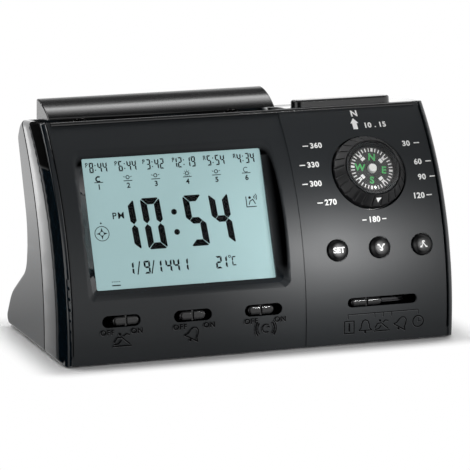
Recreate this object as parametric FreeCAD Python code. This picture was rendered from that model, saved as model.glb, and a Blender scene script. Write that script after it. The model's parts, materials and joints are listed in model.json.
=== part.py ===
import FreeCAD, Part
import math
import os

from FreeCAD import Placement, Rotation, Vector

# Table prayer clock: a leaning convex face on a hollow two-part case, a display in a sloped
# recess, a wide press bar and a small press key on top, a compass in a turning ring, three
# press buttons and four slide switches. Millimetres. x to the right, y to the back, z up.
# The sizes below are in case coordinates: x = 0 at mid width, y = 0 at the bottom edge of the
# face, z = 0 at the underside of the case. Places on the face are an x and an arc, which is the
# distance up the face from its bottom edge. Each finished piece is moved once, by ORIGIN_SHIFT,
# so that the origin lies at the bottom centre of the whole clock.

# ---- case ----
CASE_WIDTH = 211.4
FACE_TOP_HEIGHT = 115.8
FACE_TOP_SETBACK = 43.7
FACE_RADIUS = 143.5
WALL = 2.8
SIDE_ROUND = 2.2
FACE_TOP_ROUND = 2.0
FACE_BOTTOM_ROUND = 1.5
CHEEK_DEPTH = 16.0
CHEEK_TAPER = 1.5
CHEEK_ROUND = 3.6
RIM_HEIGHT = 0.6
RIM_WIDTH = 4.5
GROOVE_WIDTH = 1.0
GROOVE_DEPTH = 1.4
GROOVE_START = 5.0
FIELD_START = -3.0
CONTROLS_WIDTH = 82.5
FIELD_STEP = 0.5

# ---- rear outline: how far the crown and the head lie behind and below the face's top edge, and
# ---- the other corner places (y, z), with their rounding ----
CROWN_BACK = 29.8
CROWN_DROP = 2.6
CROWN_ROUND = 10.0
HEAD_BACK = 35.7
HEAD_DROP = 12.2
HEAD_ROUND = 5.0
NECK = (62.6, 57.0)
NECK_ROUND = 45.0
ANKLE = (66.3, 37.0)
ANKLE_ROUND = 14.0
HEEL_TOP = (94.5, 19.5)
HEEL_TOP_ROUND = 30.0
HEEL = (107.6, 0.0)
HEEL_ROUND = 4.7

# ---- seam between the two halves: two points (y, z) of its arc, and the third from the top edge ----
SEAM_BOTTOM = (33.4, 0.0)
SEAM_MIDDLE = (39.2, 53.5)
SEAM_TOP_BACK = 23.7
SEAM_TOP_DROP = 5.8
SEAM_GAP = 0.3
LIP_THICKNESS = 1.0
LIP_REACH = 2.2
LIP_CLEARANCE = 0.15

# ---- display ----
# The recess keeps its distance from the case's side, the field's step and the face's top edge,
# and the window lies inside it, at a depth under the face at its low and its high edge.
RECESS_SIDE_INSET = 13.3
RECESS_STEP_INSET = 7.1
RECESS_TOP_INSET = 14.07
RECESS_BOTTOM_ARC = 31.2
RECESS_ROUND = 3.5
WINDOW_ROUND = 1.0
WINDOW_LEFT_INSET = 6.1
WINDOW_RIGHT_INSET = 7.2
WINDOW_LOW_ARC = 37.27
WINDOW_LOW_DEPTH = 3.59
WINDOW_TOP_INSET = 21.55
WINDOW_TOP_DEPTH = 1.15
RECESS_WALL = 1.8
RECESS_FLOOR = 1.2
RECESS_TUB_SINK = 1.0
RECESS_SPREAD = 0.5
RECESS_REACH = 14.0
HOLDER_SIDE = 5.9
HOLDER_TOP = 1.9
HOLDER_BOTTOM = 5.8
HOLDER_RING = 1.4
HOLDER_DEPTH = 8.6
HOLDER_GAP = 0.1
EAR_RADIUS = 3.0
EAR_REACH = 2.4
EAR_HEIGHT = 12.0
LONG_SCREW_LENGTH = 12.0
STACK_GAP = 0.1
LENS_THICKNESS = 1.0
GLASS_THICKNESS = 2.2
LIGHT_PLATE_THICKNESS = 2.4
CONTACT_STRIP_HEIGHT = 2.0
CONTACT_STRIP_INSET = 1.8
CHIP_RADIUS = 6.0
CHIP_HEIGHT = 1.6
CRYSTAL_RADIUS = 1.5
CRYSTAL_LENGTH = 6.0
CAPACITOR_RADIUS = 2.5
CAPACITOR_HEIGHT = 7.0
CAPACITOR_PLACES = (22.0, 29.0, 36.0)
CAPACITOR_Y = -18.0

# ---- press bar and its springs; its outline is set from the face's top edge ----
BAR_SIDE_INSET = 7.0
BAR_STEP_INSET = 0.7
BAR_FRONT_BACK = 1.3
BAR_FRONT_RISE = 1.2
BAR_CROWN_BACK = 11.5
BAR_CROWN_RISE = 6.7
BAR_TOP_BACK = 23.2
BAR_TOP_RISE = 8.8
BAR_END_BACK = 23.8
BAR_END_DROP = 1.8
BAR_SKIN = 1.8
BAR_ROUND = 0.8
BAR_TRAVEL = 1.2
BAR_GAP = 0.5
LEDGE_DEPTH = 2.2
LEDGE_FLOOR = 2.0
BAR_POST_RADIUS = 2.5
BAR_POST_GAP = 0.25
BAR_POST_INSET = 20.0
BAR_POST_BACK = 13.8
BAR_CLIP_HEIGHT = 1.6
BAR_CLIP_RADIUS = 3.4
BAR_STOP_GAP = 0.2
BAR_STOP_DEPTH = 1.0
SPRING_SEAT_DEPTH = 0.5
SPRING_RADIUS = 3.25
SPRING_WIRE_RADIUS = 0.3
SPRING_TURNS = 4
SPRING_SEAT_RADIUS = 4.6
SPRING_LENGTH = 7.4

# ---- top press key ----
KEY_SIDE_INSET = 45.4
KEY_BACK = 6.5
KEY_LENGTH = 54.0
KEY_WIDTH = 9.0
KEY_PROUD = 3.8
KEY_ROUND = 1.2
KEY_TRAVEL = 1.0
KEY_GAP = 0.3
KEY_FLANGE = 1.4
KEY_FLANGE_HEIGHT = 1.2

# ---- compass ----
COMPASS_SIDE_INSET = 41.2
COMPASS_ARC = 88.6
RING_RADIUS = 19.2
RING_BORE = 14.6
RING_PROUD = 6.8
RING_EDGE_PROUD = 0.4
RING_EDGE_CHAMFER = 0.5
RING_DEPTH = 3.4
RING_GAP = 1.1
RING_SEAT_GAP = 0.3
WELL_DEPTH = 5.6
WELL_WALL = 1.8
WELL_FLOOR = 1.4
RING_NOTCHES = 24
RING_NOTCH_WIDTH = 0.5
RING_NOTCH_DEPTH = 0.45
CUP_GAP = 0.35
CUP_WALL = 1.0
CUP_FLOOR = 1.1
CUP_RIM_DROP = 0.6
DIAL_RADIUS = 11.6
DIAL_THICKNESS = 0.5
DIAL_DROP = 2.6
DOME_RISE = 2.7
DOME_SKIN = 0.9
PIVOT_RADIUS = 0.5
PIVOT_GAP = 0.06
PIVOT_POST_RADIUS = 2.2
PIVOT_POST_HEIGHT = 4.6
HUB_RADIUS = 2.4
HUB_HEIGHT = 1.9
HUB_GROOVE = 0.4
JEWEL_RADIUS = 1.5
JEWEL_HEIGHT = 1.9
MAGNET_LENGTH = 15.0
MAGNET_WIDTH = 4.4
MAGNET_THICKNESS = 0.8

# ---- press buttons ----
BUTTON_SIDE_INSETS = {"set_button": 64.2, "down_button": 41.1, "up_button": 17.8}
BUTTON_ARC = 48.8
BUTTON_RADIUS = 5.4
BUTTON_SHOULDER = 0.7
BUTTON_TOP_RADIUS = 3.8
BUTTON_PROUD = 2.6
BUTTON_DOME = 0.3
BUTTON_TOP_ROUND = 0.3
BUTTON_GAP = 0.3
BUTTON_COLLAR = 0.3
BUTTON_COLLAR_DEPTH = 0.6
BUTTON_FLANGE = 1.4
BUTTON_FLANGE_HEIGHT = 1.0
BUTTON_FLANGE_GAP = 0.35
BUTTON_STEM_RADIUS = 2.0
BUTTON_STEM_LENGTH = 3.8
BUTTON_TRAVEL = 0.8

# ---- slide switches ----
SWITCH_ARC = 21.4
SWITCH_SIDE_INSET = 30.5
SWITCH_STEP_INSET = 23.0
MODE_SIDE_INSET = 41.0
SWITCH_SLOT = 20.2
SWITCH_SLOT_HEIGHT = 6.1
SWITCH_KNOB = 14.4
MODE_SLOT = 38.2
MODE_SLOT_HEIGHT = 5.0
MODE_KNOB = 17.4
SLOT_DEPTH = 2.4
SLOT_FLOOR = 1.0
SLOT_TUB_WALL = 1.2
KNOB_ROUND = 1.6
KNOB_SIDE_GAP = 0.4
KNOB_END_GAP = 0.3
KNOB_SUNK = 0.25
KNOB_FLOOR_GAP = 0.15
KNOB_NOTCH = 1.2
KNOB_NOTCH_DEPTH = 1.1
STEM_LENGTH = 5.0
STEM_WIDTH = 1.6
STEM_GAP = 0.3
STEM_IN_SWITCH = 1.6
SWITCH_BODY_FRONT = 5.2
SWITCH_BODY_HEIGHT = 5.0
SWITCH_BODY_END = 3.0
SWITCH_BODY_WIDTH = 6.0

# ---- boards ----
BOARD_THICKNESS = 1.6
POST_RADIUS = 2.6
PILOT_DEPTH = 4.0
BOARD_SCREW_RADIUS = 0.8
BOARD_SCREW_GAP = 0.02
BOARD_SCREW_HOLE_GAP = 0.1
BOARD_SCREW_HEAD = 1.6
BOARD_SCREW_HEAD_HEIGHT = 1.1
SHORT_SCREW_LENGTH = 5.0
SWITCH_BOARD_LEFT_INSET = 17.7
SWITCH_BOARD_RIGHT_INSET = 14.5
SWITCH_BOARD_HEIGHT = 13.0
SWITCH_POST_STEP_GAP = 4.8
SWITCH_POST_SIDE_INSET = 17.4
BUTTON_BOARD_LENGTH = 66.0
BUTTON_BOARD_HEIGHT = 15.0
TOP_BOARD_UNDER_BAR = 27.5
TOP_BOARD_SIDE_INSET = 7.7
TOP_BOARD_SETBACK = 2.8
TOP_BOARD_DEPTH = 16.0
TOP_POST_STEP_GAP = 5.6
TOP_POST_STEP_BACK = 11.3
TOP_POST_SIDE_INSET = 12.1
TOP_POST_SIDE_BACK = 9.3
PRESS_SWITCH_SIDE = 6.0
PRESS_SWITCH_HEIGHT = 3.6
PLUNGER_RADIUS = 1.7
PLUNGER_HEIGHT = 0.5
PLUNGER_GAP = 0.1

# ---- case screws ----
SCREW_SIDE_INSET = 8.5
SCREW_LOW = 28.0
SCREW_TOP_DROP = 27.8
SCREW_RADIUS = 1.5
SCREW_GAP = 0.02
SCREW_HOLE_GAP = 0.2
SCREW_LENGTH = 12.0
SCREW_HEAD_RADIUS = 2.8
SCREW_HEAD_HEIGHT = 2.0
SCREW_CROSS_WIDTH = 0.8
SCREW_CROSS_DEPTH = 1.0
SCREW_POST_WALL = 2.2
TUBE_WALL = 1.5
TUBE_FLOOR = 2.4
TUBE_GAP = 0.1
PILOT_SPARE = 1.0

# ---- batteries ----
CELL_RADIUS = 7.25
CELL_LENGTH = 49.0
CELL_NUB_RADIUS = 2.7
CELL_NUB = 1.5
CELL_ROUND = 0.6
CELL_PITCH = 15.1
CELL_COUNT = 3
CELL_SPARE = 0.4
CONTACT_SPACE = 5.6
CONTACT_THICKNESS = 0.4
CONTACT_SIDE = 9.0
CONTACT_GAP = 0.1
CELL_SPRING_RADIUS = 2.8
CELL_SPRING_TURNS = 4
BAY_FRONT = 40.0
BAY_WALL = 1.6
DOOR_THICKNESS = 2.0
DOOR_GAP = 0.35
DOOR_SEAT_GAP = 0.15
DOOR_RIBS = 5
DOOR_RIB_PITCH = 2.4
DOOR_RIB_WIDTH = 1.2
DOOR_RIB_DEPTH = 0.6
DOOR_RIB_LENGTH = 16.0
DOOR_RIB_INSET = 5.6
DOOR_PIN_RADIUS = 0.6
DOOR_PIN_LENGTH = 1.5
DOOR_PIN_GAP = 0.07

# ---- loudspeaker ----
SPEAKER_TOP_DROP = 31.8
SPEAKER_RADIUS = 14.0
SPEAKER_GAP = 0.2
SPEAKER_FLANGE = 1.0
SPEAKER_RIM = 1.5
SPEAKER_BASKET = 5.0
SPEAKER_BASKET_RADIUS = 10.0
SPEAKER_MAGNET_RADIUS = 8.0
SPEAKER_MAGNET_HEIGHT = 4.0
CONE_DEPTH = 3.2
CONE_SKIN = 0.4
SEAT_WALL = 1.4
SEAT_HEIGHT = 3.0
GRILLE_HOLE = 1.1
GRILLE_PITCH = 3.7
GRILLE_RINGS = 3

# ---- wires inside ----
WIRE_RADIUS = 0.6
WIRE_HOLE_RADIUS = 0.9
WIRE_X = 30.0
WIRE_PITCH = 3.0
WIRE_TOP_Y = 12.0
WIRE_LOW_Y = -27.0
WIRE_SPEAKER_X = 9.2
WIRE_BEND = 2.4
WIRE_SAG = 12.0
WIRE_RISE = 8.5

# ---- feet ----
FOOT_RADIUS = 5.5
FOOT_THICKNESS = 1.8
FOOT_PROUD = 0.8
FOOT_SIDE_INSET = 17.0
FOOT_FRONT_Y = 14.0
FOOT_REAR_Y = 88.0
FOOT_GAP = 0.1

# ---- worked out from the sizes above ----
HALF_WIDTH = CASE_WIDTH / 2
RIM_RADIUS = FACE_RADIUS + RIM_HEIGHT
DISPLAY_FIELD_RADIUS = FACE_RADIUS - FIELD_STEP
GROOVE_X = HALF_WIDTH - RIM_WIDTH
FIELD_STEP_X = HALF_WIDTH - CONTROLS_WIDTH
RECESS_LEFT = RECESS_SIDE_INSET - HALF_WIDTH
RECESS_RIGHT = FIELD_STEP_X - RECESS_STEP_INSET
WINDOW_LEFT = RECESS_LEFT + WINDOW_LEFT_INSET
WINDOW_RIGHT = RECESS_RIGHT - WINDOW_RIGHT_INSET
WINDOW_X = (WINDOW_LEFT + WINDOW_RIGHT) / 2
WINDOW_WIDTH = WINDOW_RIGHT - WINDOW_LEFT
BAR_LEFT = BAR_SIDE_INSET - HALF_WIDTH
BAR_RIGHT = FIELD_STEP_X - BAR_STEP_INSET
BAR_FRONT = (FACE_TOP_SETBACK + BAR_FRONT_BACK, FACE_TOP_HEIGHT + BAR_FRONT_RISE)
BAR_CROWN = (FACE_TOP_SETBACK + BAR_CROWN_BACK, FACE_TOP_HEIGHT + BAR_CROWN_RISE)
BAR_TOP = (FACE_TOP_SETBACK + BAR_TOP_BACK, FACE_TOP_HEIGHT + BAR_TOP_RISE)
BAR_BACK = (FACE_TOP_SETBACK + BAR_END_BACK, FACE_TOP_HEIGHT - BAR_END_DROP)
BAR_POST_Y = FACE_TOP_SETBACK + BAR_POST_BACK
CROWN = (FACE_TOP_SETBACK + CROWN_BACK, FACE_TOP_HEIGHT - CROWN_DROP)
HEAD = (FACE_TOP_SETBACK + HEAD_BACK, FACE_TOP_HEIGHT - HEAD_DROP)
SEAM_TOP = (FACE_TOP_SETBACK + SEAM_TOP_BACK, FACE_TOP_HEIGHT - SEAM_TOP_DROP)
KEY_X = HALF_WIDTH - KEY_SIDE_INSET
KEY_Y = FACE_TOP_SETBACK + KEY_BACK
COMPASS_X = HALF_WIDTH - COMPASS_SIDE_INSET
BUTTON_PLACES = {name: HALF_WIDTH - inset for name, inset in BUTTON_SIDE_INSETS.items()}
PRAYER_X = SWITCH_SIDE_INSET - HALF_WIDTH
SNOOZE_X = FIELD_STEP_X - SWITCH_STEP_INSET
ALARM_X = (PRAYER_X + SNOOZE_X) / 2
MODE_X = HALF_WIDTH - MODE_SIDE_INSET
SWITCH_BOARD_LEFT = SWITCH_BOARD_LEFT_INSET - HALF_WIDTH
SWITCH_BOARD_RIGHT = HALF_WIDTH - SWITCH_BOARD_RIGHT_INSET
SWITCH_BOARD_POSTS = ((PRAYER_X + ALARM_X) / 2, FIELD_STEP_X + SWITCH_POST_STEP_GAP,
                      HALF_WIDTH - SWITCH_POST_SIDE_INSET)
TOP_BOARD_LEFT = BAR_RIGHT - TOP_BOARD_UNDER_BAR
TOP_BOARD_RIGHT = HALF_WIDTH - TOP_BOARD_SIDE_INSET
TOP_BOARD_FRONT = FACE_TOP_SETBACK + TOP_BOARD_SETBACK
TOP_BOARD_BACK = TOP_BOARD_FRONT + TOP_BOARD_DEPTH
TOP_BOARD_POSTS = ((FIELD_STEP_X + TOP_POST_STEP_GAP, FACE_TOP_SETBACK + TOP_POST_STEP_BACK),
                   (HALF_WIDTH - TOP_POST_SIDE_INSET, FACE_TOP_SETBACK + TOP_POST_SIDE_BACK))
SCREW_X = HALF_WIDTH - SCREW_SIDE_INSET
SCREW_HEIGHTS = (SCREW_LOW, FACE_TOP_HEIGHT - SCREW_TOP_DROP)
SPEAKER_HEIGHT = FACE_TOP_HEIGHT - SPEAKER_TOP_DROP

# Each slide switch: x of its slot, slot and knob lengths, slot height, and how far its knob
# stands from the slot's middle at rest.
SLIDE_SWITCHES = {
    "prayer_switch": (PRAYER_X, SWITCH_SLOT, SWITCH_KNOB, SWITCH_SLOT_HEIGHT, 2.6),
    "alarm_switch": (ALARM_X, SWITCH_SLOT, SWITCH_KNOB, SWITCH_SLOT_HEIGHT, 0.0),
    "snooze_switch": (SNOOZE_X, SWITCH_SLOT, SWITCH_KNOB, SWITCH_SLOT_HEIGHT, -1.2),
    "mode_knob": (MODE_X, MODE_SLOT, MODE_KNOB, MODE_SLOT_HEIGHT, -8.5),
}

X_AXIS = Vector(1, 0, 0)
Y_AXIS = Vector(0, 1, 0)
Z_AXIS = Vector(0, 0, 1)
FLIPPED = Rotation(X_AXIS, 180)
BIG = 400.0


def face_centre():
    """Centre (y, z) of the face's arc, from its two ends and its radius."""
    chord = math.hypot(FACE_TOP_SETBACK, FACE_TOP_HEIGHT)
    reach = math.sqrt(FACE_RADIUS ** 2 - (chord / 2) ** 2)
    middle_y = FACE_TOP_SETBACK / 2 + reach * FACE_TOP_HEIGHT / chord
    middle_z = FACE_TOP_HEIGHT / 2 - reach * FACE_TOP_SETBACK / chord
    return middle_y, middle_z


def arc_through(low, middle, high):
    """Centre (y, z) and radius of the circle through three (y, z) points."""
    circle = Part.Arc(*[Vector(0, y, z) for y, z in (low, middle, high)]).toShape().Curve
    return circle.Center.y, circle.Center.z, circle.Radius


def face_place(arc, depth):
    """Place (y, z) at a distance up the face and a depth under it."""
    lean = math.radians(BOTTOM_LEAN) + arc / FACE_RADIUS
    radius = FACE_RADIUS - depth
    return FACE_Y - radius * math.cos(lean), FACE_Z + radius * math.sin(lean)


FACE_Y, FACE_Z = face_centre()
SEAM_Y, SEAM_Z, SEAM_RADIUS = arc_through(SEAM_BOTTOM, SEAM_MIDDLE, SEAM_TOP)
BOTTOM_LEAN = -math.degrees(math.asin(FACE_Z / FACE_RADIUS))
FACE_LENGTH = 2 * FACE_RADIUS * math.asin(math.hypot(FACE_TOP_SETBACK, FACE_TOP_HEIGHT) / 2 / FACE_RADIUS)
RECESS_TOP_ARC = FACE_LENGTH - RECESS_TOP_INSET
WINDOW_BOTTOM = face_place(WINDOW_LOW_ARC, WINDOW_LOW_DEPTH)
WINDOW_TOP = face_place(FACE_LENGTH - WINDOW_TOP_INSET, WINDOW_TOP_DEPTH)
WINDOW_HEIGHT = math.hypot(WINDOW_TOP[0] - WINDOW_BOTTOM[0], WINDOW_TOP[1] - WINDOW_BOTTOM[1])
WINDOW_LEAN = math.degrees(math.atan2(WINDOW_TOP[0] - WINDOW_BOTTOM[0], WINDOW_TOP[1] - WINDOW_BOTTOM[1]))
FRONT_Y = FACE_Y - RIM_RADIUS
HEEL_Y = HEEL[0] - HEEL_ROUND / math.tan(
    math.atan2(HEEL_TOP[1] - HEEL[1], HEEL[0] - HEEL_TOP[0]) / 2) + HEEL_ROUND
ORIGIN_SHIFT = Vector(0, -(FRONT_Y + HEEL_Y) / 2, FOOT_PROUD)


def lean_at(arc):
    """Lean of the face from upright, in degrees, at a distance up the face."""
    return BOTTOM_LEAN + math.degrees(arc / FACE_RADIUS)


def face_frame(x, arc, field_radius=FACE_RADIUS):
    """Placement on the face: local z points out of it and local y points up along it."""
    lean = math.radians(lean_at(arc))
    base = Vector(x, FACE_Y - field_radius * math.cos(lean), FACE_Z + field_radius * math.sin(lean))
    return Placement(base, Rotation(X_AXIS, 90 - lean_at(arc)))


def window_frame():
    """Placement at the display window's centre, with local z out of the window."""
    middle_y, middle_z = [(low + high) / 2 for low, high in zip(WINDOW_BOTTOM, WINDOW_TOP)]
    base = Vector(WINDOW_X, middle_y, middle_z)
    return Placement(base, Rotation(X_AXIS, 90 - WINDOW_LEAN))


def head_frame():
    """Placement on the back of the head, at the loudspeaker, with local z out of the case."""
    lean = math.degrees(math.atan2(HEAD[0] - NECK[0], HEAD[1] - NECK[1]))
    share = (SPEAKER_HEIGHT - NECK[1]) / (HEAD[1] - NECK[1])
    base = Vector(0, NECK[0] + share * (HEAD[0] - NECK[0]), SPEAKER_HEIGHT)
    return Placement(base, Rotation(X_AXIS, -90 - lean))


def placed(shape, frame):
    """Copy of a shape made in local coordinates, put in a frame of the case."""
    copy = shape.copy()
    copy.Placement = frame.multiply(copy.Placement)
    return copy


def block(x0, x1, y0, y1, z0, z1):
    """Box between two corners."""
    return Part.makeBox(x1 - x0, y1 - y0, z1 - z0, Vector(x0, y0, z0))


def plate(width, height, z0, z1, x=0.0, y=0.0):
    """Box centred on a local x and y, between two local depths."""
    return block(x - width / 2, x + width / 2, y - height / 2, y + height / 2, z0, z1)


def disc(radius, z0, z1, x=0.0, y=0.0):
    """Cylinder along local z between two depths."""
    return Part.makeCylinder(radius, z1 - z0, Vector(x, y, z0), Z_AXIS)


def stadium(length, height, z0, z1, x=0.0, y=0.0):
    """Slot shape with round ends, along local x, between two depths."""
    radius = height / 2
    reach = length / 2 - radius
    middle = plate(2 * reach, height, z0, z1, x, y)
    ends = [disc(radius, z0, z1, x + side * reach, y) for side in (-1, 1)]
    return middle.fuse(ends).removeSplitter()


def drum_patch(x0, x1, r0, r1, arc0, arc1):
    """Piece of a thick drum round the face's centre, between two radii and two arcs."""
    lean = math.radians(lean_at(arc0))
    corners = []
    for x, r in ((x0, r0), (x1, r0), (x1, r1), (x0, r1), (x0, r0)):
        corners.append(Vector(x, FACE_Y - r * math.cos(lean), FACE_Z + r * math.sin(lean)))
    section = Part.Face(Part.makePolygon(corners))
    return section.revolve(Vector(0, FACE_Y, FACE_Z), -X_AXIS, lean_at(arc1) - lean_at(arc0))


def drum(radius):
    """Solid cylinder across the case, round the seam's centre."""
    return Part.makeCylinder(radius, BIG, Vector(-BIG / 2, SEAM_Y, SEAM_Z), X_AXIS)


def line_to_drum_round(point, direction, radius):
    """Rounding between a line (y, z) and the rim's arc, with the case's inside on its right side."""
    dy, dz = direction
    size = math.hypot(dy, dz)
    dy, dz = dy / size, dz / size
    start_y = point[0] + dz * radius - FACE_Y
    start_z = point[1] - dy * radius - FACE_Z
    along = start_y * dy + start_z * dz
    reach = (RIM_RADIUS - radius) ** 2 - (start_y ** 2 + start_z ** 2 - along ** 2)
    step = -along - math.sqrt(reach)
    if dy < 0:
        step = -along + math.sqrt(reach)
    centre = (FACE_Y + start_y + step * dy, FACE_Z + start_z + step * dz)
    on_line = (centre[0] - dz * radius, centre[1] + dy * radius)
    away = math.hypot(centre[0] - FACE_Y, centre[1] - FACE_Z)
    grow = RIM_RADIUS / away
    on_drum = (FACE_Y + (centre[0] - FACE_Y) * grow, FACE_Z + (centre[1] - FACE_Z) * grow)
    middle = [centre[i] + radius * v for i, v in enumerate(unit_between(centre, on_line, on_drum))]
    return on_line, middle, on_drum


def unit_between(centre, first, second):
    """Unit vector half-way between the directions from a centre to two points."""
    sums = [(first[i] - centre[i]) + (second[i] - centre[i]) for i in (0, 1)]
    size = math.hypot(*sums)
    return sums[0] / size, sums[1] / size


def corner_round(before, corner, after, radius):
    """Start, middle and end (y, z) of the arc that rounds one corner of an outline."""
    arms = []
    for other in (before, after):
        size = math.dist(corner, other)
        arms.append(((other[0] - corner[0]) / size, (other[1] - corner[1]) / size))
    half = math.acos(arms[0][0] * arms[1][0] + arms[0][1] * arms[1][1]) / 2
    step = radius / math.tan(half)
    start, end = [(corner[0] + arm[0] * step, corner[1] + arm[1] * step) for arm in arms]
    inward = unit_between((0, 0), arms[0], arms[1])
    reach = radius / math.sin(half) - radius
    return start, (corner[0] + inward[0] * reach, corner[1] + inward[1] * reach), end


def side_outline():
    """Closed outline of the case seen from the side, in the plane x = 0."""
    face_top = (FACE_TOP_SETBACK, FACE_TOP_HEIGHT)
    top_way = (CROWN[0] - face_top[0], CROWN[1] - face_top[1])
    top_line, top_middle, top_drum = line_to_drum_round(face_top, top_way, FACE_TOP_ROUND)
    low_line, low_middle, low_drum = line_to_drum_round((0, 0), (-1, 0), FACE_BOTTOM_ROUND)
    rear = [(CROWN, CROWN_ROUND), (HEAD, HEAD_ROUND), (NECK, NECK_ROUND), (ANKLE, ANKLE_ROUND),
            (HEEL_TOP, HEEL_TOP_ROUND), (HEEL, HEEL_ROUND)]
    places = [top_line] + [corner for corner, radius in rear] + [low_line]
    lean = math.radians((lean_at(0) + lean_at(RECESS_TOP_ARC)) / 2)
    face_middle = (FACE_Y - RIM_RADIUS * math.cos(lean), FACE_Z + RIM_RADIUS * math.sin(lean))
    arcs = [(low_drum, face_middle, top_drum), (top_drum, top_middle, top_line)]
    for index, (corner, radius) in enumerate(rear):
        arcs.append(corner_round(places[index], corner, places[index + 2], radius))
    arcs.append((low_line, low_middle, low_drum))
    edges = []
    for index, points in enumerate(arcs):
        start, middle, end = [Vector(0, y, z) for y, z in points]
        if index > 1 and start.distanceToPoint(last) > 1e-6:
            edges.append(Part.LineSegment(last, start).toShape())
        edges.append(Part.Arc(start, middle, end).toShape())
        last = end
    return Part.Wire(edges)


def cheek_cutter(side, inset):
    """What the rounded cheek takes off one front edge of the case, turned round the face's centre."""
    edge = HALF_WIDTH - inset
    top = RIM_RADIUS - inset
    waist = (edge - CHEEK_TAPER, top - CHEEK_ROUND)
    shoulder = (waist[0] - CHEEK_ROUND, top)
    diagonal = CHEEK_ROUND * math.sqrt(0.5)
    round_middle = (shoulder[0] + diagonal, waist[1] + diagonal)
    low = (edge, RIM_RADIUS - CHEEK_DEPTH)
    taper_middle = (edge - CHEEK_TAPER * 0.3, (low[1] + waist[1]) / 2)
    spare = 2 * WALL

    def at(point):
        return Vector(side * point[0], FACE_Y - point[1], FACE_Z)

    edges = [
        Part.Arc(at(low), at(taper_middle), at(waist)).toShape(),
        Part.Arc(at(waist), at(round_middle), at(shoulder)).toShape(),
        Part.makePolygon([at(shoulder), at((shoulder[0], top + spare)), at((edge + spare, top + spare)),
                          at((edge + spare, low[1])), at(low)]),
    ]
    section = Part.Face(Part.Wire([e for item in edges for e in item.Edges]))
    return section.revolve(Vector(0, FACE_Y, FACE_Z), X_AXIS, 360)


def form(inset=0.0):
    """Outer form of the case, or the same form drawn in by an inset, with its edges rounded."""
    section = Part.Face(side_outline())
    if inset:
        section = section.makeOffset2D(-inset)
    half = HALF_WIDTH - inset
    section.translate(Vector(-half, 0, 0))
    solid = section.extrude(Vector(2 * half, 0, 0))
    ends = [e for e in solid.Edges if all(abs(abs(v.X) - half) < 1e-6 for v in e.Vertexes) and
            abs(e.Vertexes[0].X - e.Vertexes[-1].X) < 1e-6]
    rounded = [e for e in ends if not (e.Curve.TypeId == "Part::GeomCircle" and
               abs(e.Curve.Radius - (RIM_RADIUS - inset)) < 1e-3)]
    keep = [e for e in rounded if e.CenterOfMass.y > CHEEK_DEPTH]
    solid = solid.makeFillet(SIDE_ROUND - min(inset, SIDE_ROUND - 0.6), keep)
    for side in (-1, 1):
        solid = solid.cut(cheek_cutter(side, inset))
    return solid


def curve_through(first, middle, last):
    """Arc through three points, or the line that they lie on."""
    if middle.distanceToLine(first, last - first) < 1e-6:
        return Part.LineSegment(first, last).toShape()
    return Part.Arc(first, middle, last).toShape()


def ring_edges(place, left, right, low, high, radius):
    """Sides and rounded corners of a rectangle, each of its points set out by a place function."""
    turns = ((right, low, 1, 0, 0, 1), (right, high, 0, 1, -1, 0),
             (left, high, -1, 0, 0, -1), (left, low, 0, -1, 1, 0))
    reach = radius * (1 - math.sqrt(0.5))
    edges = []
    last = (left + radius, low)
    for x, y, in_x, in_y, out_x, out_y in turns:
        start = (x - in_x * radius, y - in_y * radius)
        middle = (x + (out_x - in_x) * reach, y + (out_y - in_y) * reach)
        end = (x + out_x * radius, y + out_y * radius)
        half = ((last[0] + start[0]) / 2, (last[1] + start[1]) / 2)
        edges.append(curve_through(place(*last), place(*half), place(*start)))
        edges.append(curve_through(place(*start), place(*middle), place(*end)))
        last = end
    return edges


def recess_tool(grow, sink):
    """Recess with sloped walls and rounded corners, from in front of the face to the window."""
    frame = window_frame()
    back = frame.inverse()

    def on_window(x, y):
        return frame.multVec(Vector(x, y, -sink))

    def on_face(x, arc):
        lean = math.radians(lean_at(arc))
        radius = DISPLAY_FIELD_RADIUS + RECESS_SPREAD
        return Vector(x, FACE_Y - radius * math.cos(lean), FACE_Z + radius * math.sin(lean))

    def in_front(x, arc):
        local = back.multVec(on_face(x, arc))
        return frame.multVec(Vector(local.x, local.y, RECESS_REACH))

    half_x, half_y = WINDOW_WIDTH / 2 + grow, WINDOW_HEIGHT / 2 + grow
    side = grow + RECESS_SPREAD
    face_sides = (RECESS_LEFT - side, RECESS_RIGHT + side, RECESS_BOTTOM_ARC - grow, RECESS_TOP_ARC + grow)
    rings = [ring_edges(on_window, -half_x, half_x, -half_y, half_y, WINDOW_ROUND + grow)]
    rings += [ring_edges(place, *face_sides, RECESS_ROUND + side) for place in (on_face, in_front)]
    faces = [Part.Face(Part.Wire(rings[0])), Part.Face(Part.Wire(rings[2]))]
    for inner, outer in zip(rings, rings[1:]):
        faces += [Part.makeRuledSurface(first, second) for first, second in zip(inner, outer)]
    shell = Part.makeShell(faces)
    shell.sewShape()
    solid = Part.makeSolid(shell)
    if solid.Volume < 0:
        solid.reverse()
    return solid


def window_opening():
    """Opening of the display window through the recess's floor."""
    opening = plate(WINDOW_WIDTH, WINDOW_HEIGHT, -RECESS_FLOOR - 1, 1)
    upright = [e for e in opening.Edges if abs(e.Vertexes[0].Z - e.Vertexes[1].Z) > 1]
    return placed(opening.makeFillet(WINDOW_ROUND, upright), window_frame())


def top_height(y):
    """Height of the case's top surface at a distance back from the face's bottom edge."""
    fall = (FACE_TOP_HEIGHT - CROWN[1]) / (CROWN[0] - FACE_TOP_SETBACK)
    return FACE_TOP_HEIGHT - (y - FACE_TOP_SETBACK) * fall


def top_frame(x, y):
    """Placement on the case's top surface, with local z out of it."""
    fall = math.degrees(math.atan2(FACE_TOP_HEIGHT - CROWN[1], CROWN[0] - FACE_TOP_SETBACK))
    return Placement(Vector(x, y, top_height(y)), Rotation(X_AXIS, -fall))


def seam_y(z):
    """Distance back of the seam at a height."""
    return SEAM_Y - math.sqrt(SEAM_RADIUS ** 2 - (z - SEAM_Z) ** 2)


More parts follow.
